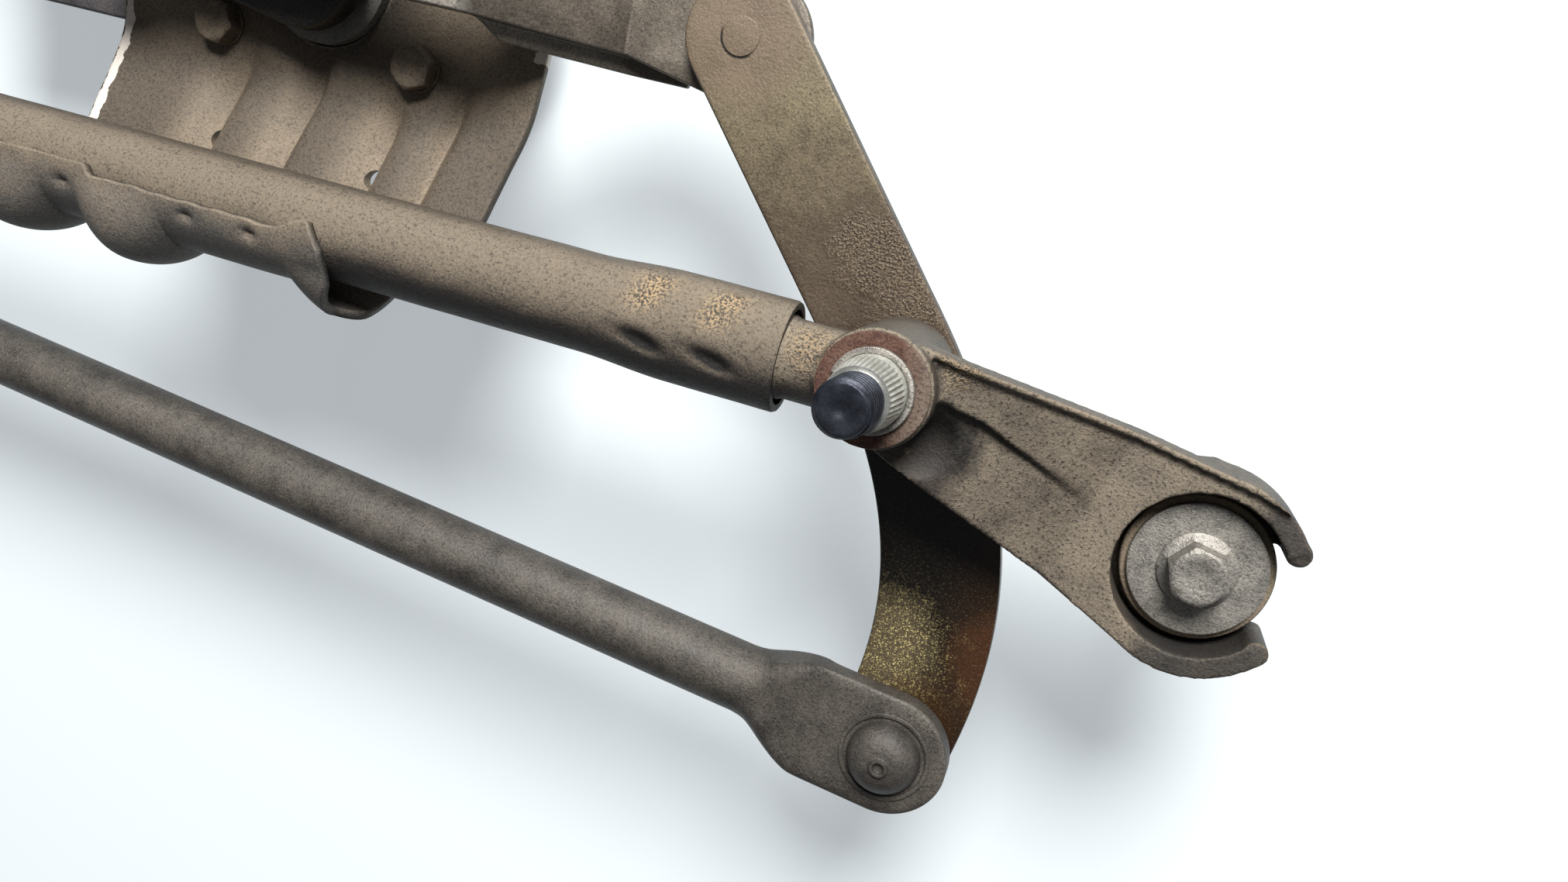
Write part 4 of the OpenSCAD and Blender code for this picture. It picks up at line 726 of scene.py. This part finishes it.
# Drive pin: flush rivet in the lever, pin and head below
pin = dict(rivet=3.85, proud=0.18, shank=5.0, head=8.0, headTop=-49.0, headBottom=-50.5, soft=0.25)
rivetTop = leverTop + pin["proud"]
profile = rounded([(0, rivetTop), (pin["rivet"], rivetTop), (pin["rivet"], leverTop - 1),
                   (pin["rivet"], leverBottom), (pin["shank"], leverBottom), (pin["shank"], pin["headTop"]),
                   (pin["head"], pin["headTop"]), (pin["head"], pin["headBottom"]), (0, pin["headBottom"])],
                  pin["soft"])
piece("drivePin", turned(*profile.T, 72, drivePin), "right_lever", ["drive_pin"], leverFinish)

# Spindles: points of radius and height; each run is a leg from one point to another in so many rows:
# knurled cone, thread, chamfer
spindle = dict(foot=((0, -46.5), (7.2, -46.5), (7.4, -46.5), (7.5, -46.2), (7.5, -45.2), (7.3, -45),
                     (5.5, -45), (5.5, -41), (6.5, -41), (6.5, -20), (6.5, -9.4)),
               runs=(((6.5, -9), (5.75, 0), 34), ((5.0, 0.05), (5.0, 9.0), 90), ((5.0, 9.05), (4.4, 9.7), 6)),
               tip=((4.15, 9.88), (3.9, 9.9), (1.5, 9.9), (1.2, 9.75), (0, 9.6)), steps=320,
               teeth=40, toothDepth=0.34, cone=(-9.2, -8.6, -0.7, 0.0),
               pitch=1.5, threadDepth=0.62, thread=(0.2, 1.0, 9.2, 9.8),
               neckDepth=0.25, neck=(-0.1, 0.2, 0.3, 1.2), darkFrom=(-0.3, 0.3))


# Radius over angle and height, cut by straight teeth in the cone and by a helix in the thread, and
# per point how dark it is and how deep in the knurl
def spindleShape(s):
    radius, height = (np.concatenate(
        [[p[i] for p in s["foot"]]] + [np.linspace(a[i], b[i], rows) for a, b, rows in s["runs"]]
        + [[p[i] for p in s["tip"]]]) for i in (0, 1))
    zs, angle = np.meshgrid(height, roundAngles(s["steps"]), indexing="ij")
    knurl = triangleWave(angle * s["teeth"] / (2 * math.pi)) * plateau(zs, *s["cone"])
    helix = ease(triangleWave(zs / s["pitch"] - angle / (2 * math.pi)), 0.1, 0.9) * plateau(zs, *s["thread"])
    rs = np.repeat(radius[:, None], s["steps"], 1) - s["toothDepth"] * knurl
    rs = rs - s["threadDepth"] * helix - s["neckDepth"] * plateau(zs, *s["neck"])
    return rs, zs, ease(zs, *s["darkFrom"]).ravel(), knurl.ravel()


# Spindle metal: pale knurl with grime in its grooves, blue-black thread
def spindleMaterial():
    f = Finish("spindleSteel")
    broad, fine = f.noise(3, 4), f.noise(0.4, 3, 0.7)
    pale = f.over(tint(176, 176, 166), tint(206, 206, 198), broad.span(0.35, 0.65))
    pale = f.over(pale, tint(112, 106, 94), (f.painted("groove") * 0.75 + (fine - 0.5) * 0.4).clip())
    blue = f.over(tint(30, 32, 39), tint(58, 61, 70), broad.span(0.35, 0.7))
    blue = f.over(blue, tint(18, 18, 22), fine.span(0.5, 0.75) * 0.6)
    colour = f.over(pale, blue, f.painted("dark"))
    rough = (0.42 + (fine - 0.5) * 0.3 + (broad - 0.5) * 0.2).clip()
    return f.close(colour, rough, 0.55 + f.painted("dark") * 0.1, fine * 0.5 + broad * 0.3, 0.1)


spindleRadius, spindleHeight, dark, groove = spindleShape(spindle)
spindleFinish = spindleMaterial()
for name, body, node, at in (("rightSpindle", "right_lever", "right_spindle", (0, 0)),
                             ("leftSpindle", "left_lever", "left_spindle_shaft", leftSpindle)):
    piece(name, turned(spindleRadius, spindleHeight, spindle["steps"], at), body, [node], spindleFinish,
          {"dark": dark, "groove": groove}, sharp=60)
print("spindles made")

# Washers on the hubs and the split clips over them
washer = dict(inner=6.55, outer=10.25, bottom=-13.8, top=-12.6, soft=0.3, clipEdge=0.25)
profile = rounded([(washer["inner"], washer["bottom"]), (washer["outer"], washer["bottom"]),
                   (washer["outer"], washer["top"]), (washer["inner"], washer["top"]),
                   (washer["inner"], washer["bottom"])], washer["soft"])
for side, at in (("right", (0, 0)), ("left", leftSpindle)):
    piece(side + "SpindleWasher", turned(*profile.T, 96, at), side + "_lever",
          [side + "_spindle_washer"], washerFinish)
    softEdged(side + "_spindle_clip", side + "SpindleClip", side + "_lever", zincFinish,
              washer["clipEdge"])

# Grommets: rubber spools with rolled lips
grommet = dict(lip=13.85, waist=9.48, bore=5.02, top=-37.5, floor=-42.0, under=-45.0, bottom=-49.5, soft=0.9)


# Profile of a spool: lip, waist, lip, and back up the bore
def grommetProfile(s):
    return rounded([(s["bore"], s["top"]), (s["lip"], s["top"]), (s["lip"], s["floor"]), (s["waist"], s["floor"]),
                    (s["waist"], s["under"]), (s["lip"], s["under"]), (s["lip"], s["bottom"]),
                    (s["bore"], s["bottom"]), (s["bore"], s["top"])], s["soft"])


for side, at in (("right", rightClaw), ("left", leftClaw)):
    piece(side + "Grommet", turned(*grommetProfile(grommet).T, 96, at), "frame", [side + "_grommet"],
          rubberFinish)

# Mounting sets: washers, slightly dished, under flanged bolts
mount = dict(washerR=12.5, hole=3.3, bottom=-37.5, top=-35.9, dish=8.4, sag=0.12, soft=0.35,
             flange=7.1, flangeT=1.4, across=10.0, headTop=-29.9, headTurn=0.35,
             shank=2.85, thread=3.0, threadTop=-49.5, tip=-65.5, pitch=1.0, depth=0.38)
profile = rounded([(mount["hole"], mount["bottom"]), (mount["washerR"], mount["bottom"]),
                   (mount["washerR"], mount["top"] - mount["sag"]), (mount["dish"], mount["top"]),
                   (mount["hole"], mount["top"]), (mount["hole"], mount["bottom"])], mount["soft"])
piece("mountWashers", joined(*[turned(*profile.T, 112, at) for at in (rightClaw, leftClaw)]), "frame",
      ["mount_washers"], zincFinish)


# Hexagon head on a flange: the hexagon's radius over the angle, cut by a cone at its top
def hexHead(centre, base, flangeR, flangeT, across, top, turn, steps=144):
    angle = roundAngles(steps)
    flat = across / 2 / np.cos((angle - turn + math.pi / 6) % (math.pi / 3) - math.pi / 6)
    neck, even = base + flangeT, 0 * flat
    rows = [(even, base), (even + flangeR - 0.2, base), (even + flangeR, base + 0.25),
            (even + flangeR, base + 0.65), (even + flangeR - 0.3, base + 0.85),
            (np.minimum(flat + 0.5, flangeR - 0.5), neck - 0.15), (flat + 0.05, neck + 0.15)]
    rows += [(flat, z) for z in np.linspace(neck + 0.4, top - 1.3, 3)]
    rows += [(np.minimum(flat, across / 2 * 0.93 + (top - z) * 1.5), z)
             for z in np.linspace(top - 1.2, top - 0.08, 7)]
    rows += [(even + across / 2 * 0.9, top), (even + across / 2 * 0.6, top - 0.02),
             (even + across / 2 * 0.5, top - 0.18), (even, top - 0.2)]
    radius = np.stack([r for r, _ in rows])
    height = np.repeat(np.array([z for _, z in rows])[:, None], steps, 1)
    return turned(radius, height, steps, centre)


# Threaded shank: a ridge that climbs one pitch a turn
def threadShank(centre, top, threadTop, tip, shank, thread, pitch, depth, steps=48):
    z = np.concatenate([[top, threadTop], np.linspace(threadTop - 0.1, tip + 0.6, 110), [tip, tip]])
    zs, angle = np.meshgrid(z, roundAngles(steps), indexing="ij")
    helix = triangleWave(zs / pitch - angle / (2 * math.pi)) * ease(-zs, -threadTop, -threadTop + 1)
    rs = np.where(zs >= threadTop, shank, thread) - depth * helix * (zs < threadTop - 0.05)
    rs[-2] -= 0.5
    rs[-1] = 0
    return turned(np.concatenate([np.zeros((1, steps)), rs]), np.concatenate([zs[:1], zs]), steps, centre)


mountBolts = []
for at in (rightClaw, leftClaw):
    mountBolts.append(hexHead(at, mount["top"], mount["flange"], mount["flangeT"], mount["across"],
                              mount["headTop"], mount["headTurn"]))
    mountBolts.append(threadShank(at, mount["top"] + 0.3, mount["threadTop"], mount["tip"], mount["shank"],
                                  mount["thread"], mount["pitch"], mount["depth"]))
piece("mountBolts", joined(*mountBolts), "frame", ["mount_bolts"], zincFinish, sharp=40)
print("mounting sets made")

# Tie rod: a section carried along the rod, round in the middle and flat at both eyes
rod = dict(half=7.25, eyeHalf=12.6, eyeT=5.6, length=520.0, tilt=-5.0, flatSpan=(14.0, 31.0), around=64,
           shoulderSpan=(17, 34), shoulderPower=0.8, nearTo=46, farFrom=80, leftFlat=32.0, leftHalf=10.6,
           leftFlare=(2, 9), leftRelease=(90, 140), hollow=0.7, hollowAt=27, hollowLong=6, hollowWide=5)


# The section is an oval whose power squares it up where the rod is flat; its half width and height
# follow the distance from the nearer eye, and its top stays at one level
def rodShape(s):
    t = np.sin(np.linspace(-math.pi / 2, 0, 40)) * s["eyeHalf"]
    near = np.concatenate([t, np.linspace(0.4, s["nearTo"], 110)])
    far = np.concatenate([near[near < 0], np.linspace(0, s["leftFlat"], 30)[:-1], near[near >= 0] + s["leftFlat"]])
    middle = np.linspace(s["nearTo"] + 1, s["length"] - s["farFrom"], 120)
    along = np.concatenate([near, middle, s["length"] - far[::-1]])
    behind = s["length"] - along
    d = np.minimum(along, np.where(behind > 0, np.maximum(behind - s["leftFlat"], 0), behind))
    flat = 1 - ease(d, *s["flatSpan"])
    shoulder = 1 - ease(d, *s["shoulderSpan"]) ** s["shoulderPower"]
    half = s["half"] + (s["eyeHalf"] - s["half"]) * shoulder
    half = np.where(d < 0, np.sqrt(np.maximum(s["eyeHalf"] ** 2 - d ** 2, 0)), half)
    # the left end is narrower between its eye and the round part
    leftMost = s["leftHalf"] + 2 * (1 - ease(behind, *s["leftFlare"])) + 9 * ease(behind, *s["leftRelease"])
    half = np.minimum(half, np.where(behind > 0, leftMost, 99))
    tall = s["half"] * 2 * (1 - flat) + s["eyeT"] * flat
    power = 2 / (2.0 + 6.0 * flat)
    angle = roundAngles(s["around"])
    c, n = np.cos(angle)[None], np.sin(angle)[None]
    side = np.sign(c) * np.abs(c) ** power[:, None] * half[:, None]
    up = np.sign(n) * np.abs(n) ** power[:, None] * (tall / 2)[:, None] + (eyeTop - tall / 2)[:, None]
    # thumb hollow where the round rod runs out into the flat
    hollow = s["hollow"] * (np.exp(-((d - s["hollowAt"]) / s["hollowLong"]) ** 2)[:, None])
    up = up - hollow * np.exp(-(side / s["hollowWide"]) ** 2) * (n > 0)
    turn = math.radians(s["tilt"])
    ahead = np.array([-math.cos(turn), -math.sin(turn)])
    across = np.array([-ahead[1], ahead[0]])
    plan = rightBall + along[:, None, None] * ahead + side[..., None] * across
    pts = np.concatenate([plan, up[..., None]], -1)
    return pts.reshape(-1, 3), gridFaces(len(along), s["around"], False, True).tolist()


piece("tieRod", rodShape(rod), "tie_rod", ["tie_rod"], rodFinish, sharp=50)

# Caps over the ball joints: flange, groove, dome and a ringed nub
cap = dict(ring=9.3, groove=8.1, dome=7.5, domeTop=1.6, lift=0.35, top=-27.5, nub=1.9, nubHole=1.05, nubH=0.5)


# Profile of a cap from its rim to its middle; the dome is an oval quarter turn
def capProfile(s):
    turn = np.linspace(0, math.pi / 2, 22)
    domeR = s["domeTop"] + (s["dome"] - s["domeTop"]) * np.cos(turn) ** 0.9
    domeZ = eyeTop + 0.1 + (s["top"] - eyeTop - 0.1) * np.sin(turn) ** 1.15
    rim = [(0, eyeTop - 1), (s["ring"], eyeTop - 1), (s["ring"], eyeTop + s["lift"]),
           (s["groove"] + 0.3, eyeTop + s["lift"]), (s["groove"], eyeTop - 0.35), (s["dome"] + 0.05, eyeTop - 0.3)]
    nub = [(s["nub"] + 0.35, s["top"] - 0.1), (s["nub"], s["top"] + 0.05), (s["nub"] - 0.1, s["top"] + s["nubH"]),
           (s["nubHole"] + 0.1, s["top"] + s["nubH"]), (s["nubHole"], s["top"] - 0.2), (0, s["top"] - 0.25)]
    return np.concatenate([rounded(rim, 0.25), np.stack([domeR, domeZ], -1)[:-3], rounded(nub, 0.15)])


for side, at in (("right", rightBall), ("left", leftSpindle + rightBall)):
    piece(side + "RodCap", turned(*capProfile(cap).T, 112, at), "tie_rod", [side + "_rod_cap"], rodFinish,
          sharp=50)
print("tie rod made")

# Link, crank, gear case and motor keep their CAD shape, with broken edges
for node, name, body, slot, finish, width in (
        ("drive_link", "driveLink", "drive_link", "link", linkFinish, 0.5),
        ("crank", "crankArm", "crank", "crank", greaseFinish, 0.6),
        ("crank_nut", "crankNut", "crank", "zinc", greaseFinish, 0.4),
        ("gear_housing", "gearHousing", "frame", "gearcase", alloyFinish, 0.8),
        ("gear_cover", "gearCover", "frame", "cover", darkSteelFinish, 0.6),
        ("cover_screws", "coverScrews", "frame", "zinc", zincFinish, 0.4),
        ("motor_can", "motorCan", "frame", "can", darkSteelFinish, 1.0),
        ("connector_socket", "connectorSocket", "frame", "socket", darkPlasticFinish, 0.8)):
    softEdged(node, name, body, finish, width)

# Motor bolts: three heads on the pad, each turned a little further
motorBolt = dict(flange=4.9, flangeT=0.6, across=8.6, head=4.5, turn=0.4, turnStep=0.5, threadTop=-2, tip=-9.5,
                 shank=2.9, thread=3.0, pitch=1.0, depth=0.3)
motorBolts = []
for i, angle in enumerate(boltAngles):
    at = motorAt + polar(boltCircle, angle)
    motorBolts.append(hexHead(at, padZ, motorBolt["flange"], motorBolt["flangeT"], motorBolt["across"],
                              padZ + motorBolt["head"], motorBolt["turn"] + motorBolt["turnStep"] * i, 96))
    motorBolts.append(threadShank(at, padZ + 0.3, padZ + motorBolt["threadTop"], padZ + motorBolt["tip"],
                                  motorBolt["shank"], motorBolt["thread"], motorBolt["pitch"], motorBolt["depth"]))
piece("motorBolts", joined(*motorBolts), "frame", ["motor_bolts"], boltFinish, sharp=40)
print("drive and motor made")

# Hidden or plain pieces keep their solids and take a finish
for finish, names in (
        (bronzeFinish, ("right_bush", "left_bush", "output_bush", "can_bearing")),
        (zincFinish, ("mount_sleeves", "output_shaft", "armature_shaft")),
        (steelFinish, ("right_ball_stud", "left_ball_stud", "crank_ball_stud")),
        (darkPlasticFinish, ("right_rod_socket", "left_rod_socket", "link_bush", "crank_socket", "brush_plate")),
        (darkSteelFinish, ("motor_magnets", "armature_core", "carbon_brushes")),
        (gearFinish, ("worm_wheel",)), (copperFinish, ("commutator",))):
    for node in names:
        nodes[node].data.materials.clear()
        nodes[node].data.materials.append(finish)

# White table that keeps the shadows
stage = dict(level=-88.2, size=3.0, cuts=9, lit=0.52, glow=0.44, glowTone=(0.9, 0.96, 1.0, 1),
             tones=((0.93, 1, 1), (0.92, 0.985, 1)))


# Matt paper with a faint glow that camera, mirrored and passing rays see, but no diffuse ones
def tableMaterial(s):
    f = Finish("whiteTable")
    path = f.tree.nodes.new("ShaderNodeLightPath")
    seen = Value(f.tree, path.outputs["Is Camera Ray"]).larger(Value(f.tree, path.outputs["Is Glossy Ray"]))
    seen = seen.larger(Value(f.tree, path.outputs["Is Transmission Ray"]))
    dull, pale = ((*(s["lit"] * v for v in tone), 1) for tone in s["tones"])
    matt = f.node("ShaderNodeBsdfDiffuse", {}, {"Color": f.over(dull, pale, f.noise(40, 3))}, "BSDF")
    glow = f.node("ShaderNodeEmission", {}, {"Color": s["glowTone"], "Strength": seen * s["glow"]}, "Emission")
    both = f.node("ShaderNodeAddShader", {}, {0: matt, 1: glow}, "Shader")
    f.node("ShaderNodeOutputMaterial", {}, {"Surface": both})
    return f.material


edge = np.linspace(-stage["size"], stage["size"], stage["cuts"])
tableX, tableY = np.meshgrid(edge, edge, indexing="ij")
tablePoints = np.stack([tableX, tableY, np.full_like(tableX, stage["level"] * mm)], -1).reshape(-1, 3)
tableMesh = bpy.data.meshes.new("table")
tableMesh.from_pydata(tablePoints.tolist(), [], gridFaces(stage["cuts"], stage["cuts"])[:, ::-1].tolist())
table = bpy.data.objects.new("table", tableMesh)
table.data.materials.append(tableMaterial(stage))
bpy.context.scene.collection.objects.link(table)

# Camera: place and axes measured from the round parts of the photograph
view = dict(at=(33.2, 36.3, 184.0), right=(0.9353, 0.2229, -0.2752), down=(0.2760, -0.9458, 0.1719),
            ahead=(-0.2219, -0.2367, -0.9459), lens=27.03, sensor=36.0, clip=(0.01, 20.0))
cam = bpy.data.cameras.new("camera")
cam.lens, cam.sensor_width = view["lens"], view["sensor"]
cam.clip_start, cam.clip_end = view["clip"]
camera = bpy.data.objects.new("camera", cam)
axes = Matrix((Vector(view["right"]), -Vector(view["down"]), -Vector(view["ahead"]))).transposed().to_4x4()
camera.matrix_world = Matrix.Translation(Vector(view["at"]) * mm) @ axes
bpy.context.scene.collection.objects.link(camera)
bpy.context.scene.camera = camera

# Light: one large soft lamp high up beyond the tube, and a pale sky
lamp = dict(at=(120.0, 1010.0, 900.0), aim=(0.0, -10.0, -50.0), size=0.66, power=42.0,
            sky=(0.86, 0.92, 1.0, 1), skyLevel=0.13)
light = bpy.data.lights.new("softLamp", "AREA")
light.shape, light.size, light.energy = "DISK", lamp["size"], lamp["power"]
lampObject = bpy.data.objects.new("softLamp", light)
lampObject.location = Vector(lamp["at"]) * mm
lampObject.rotation_euler = (Vector(lamp["aim"]) - Vector(lamp["at"])).to_track_quat("-Z", "Y").to_euler()
bpy.context.scene.collection.objects.link(lampObject)
world = bpy.data.worlds.new("studio")
world.use_nodes = True
sky = world.node_tree.nodes["Background"]
sky.inputs["Color"].default_value, sky.inputs["Strength"].default_value = lamp["sky"], lamp["skyLevel"]
bpy.context.scene.world = world
bpy.context.scene.view_settings.view_transform = "Standard"

print("scene ready")
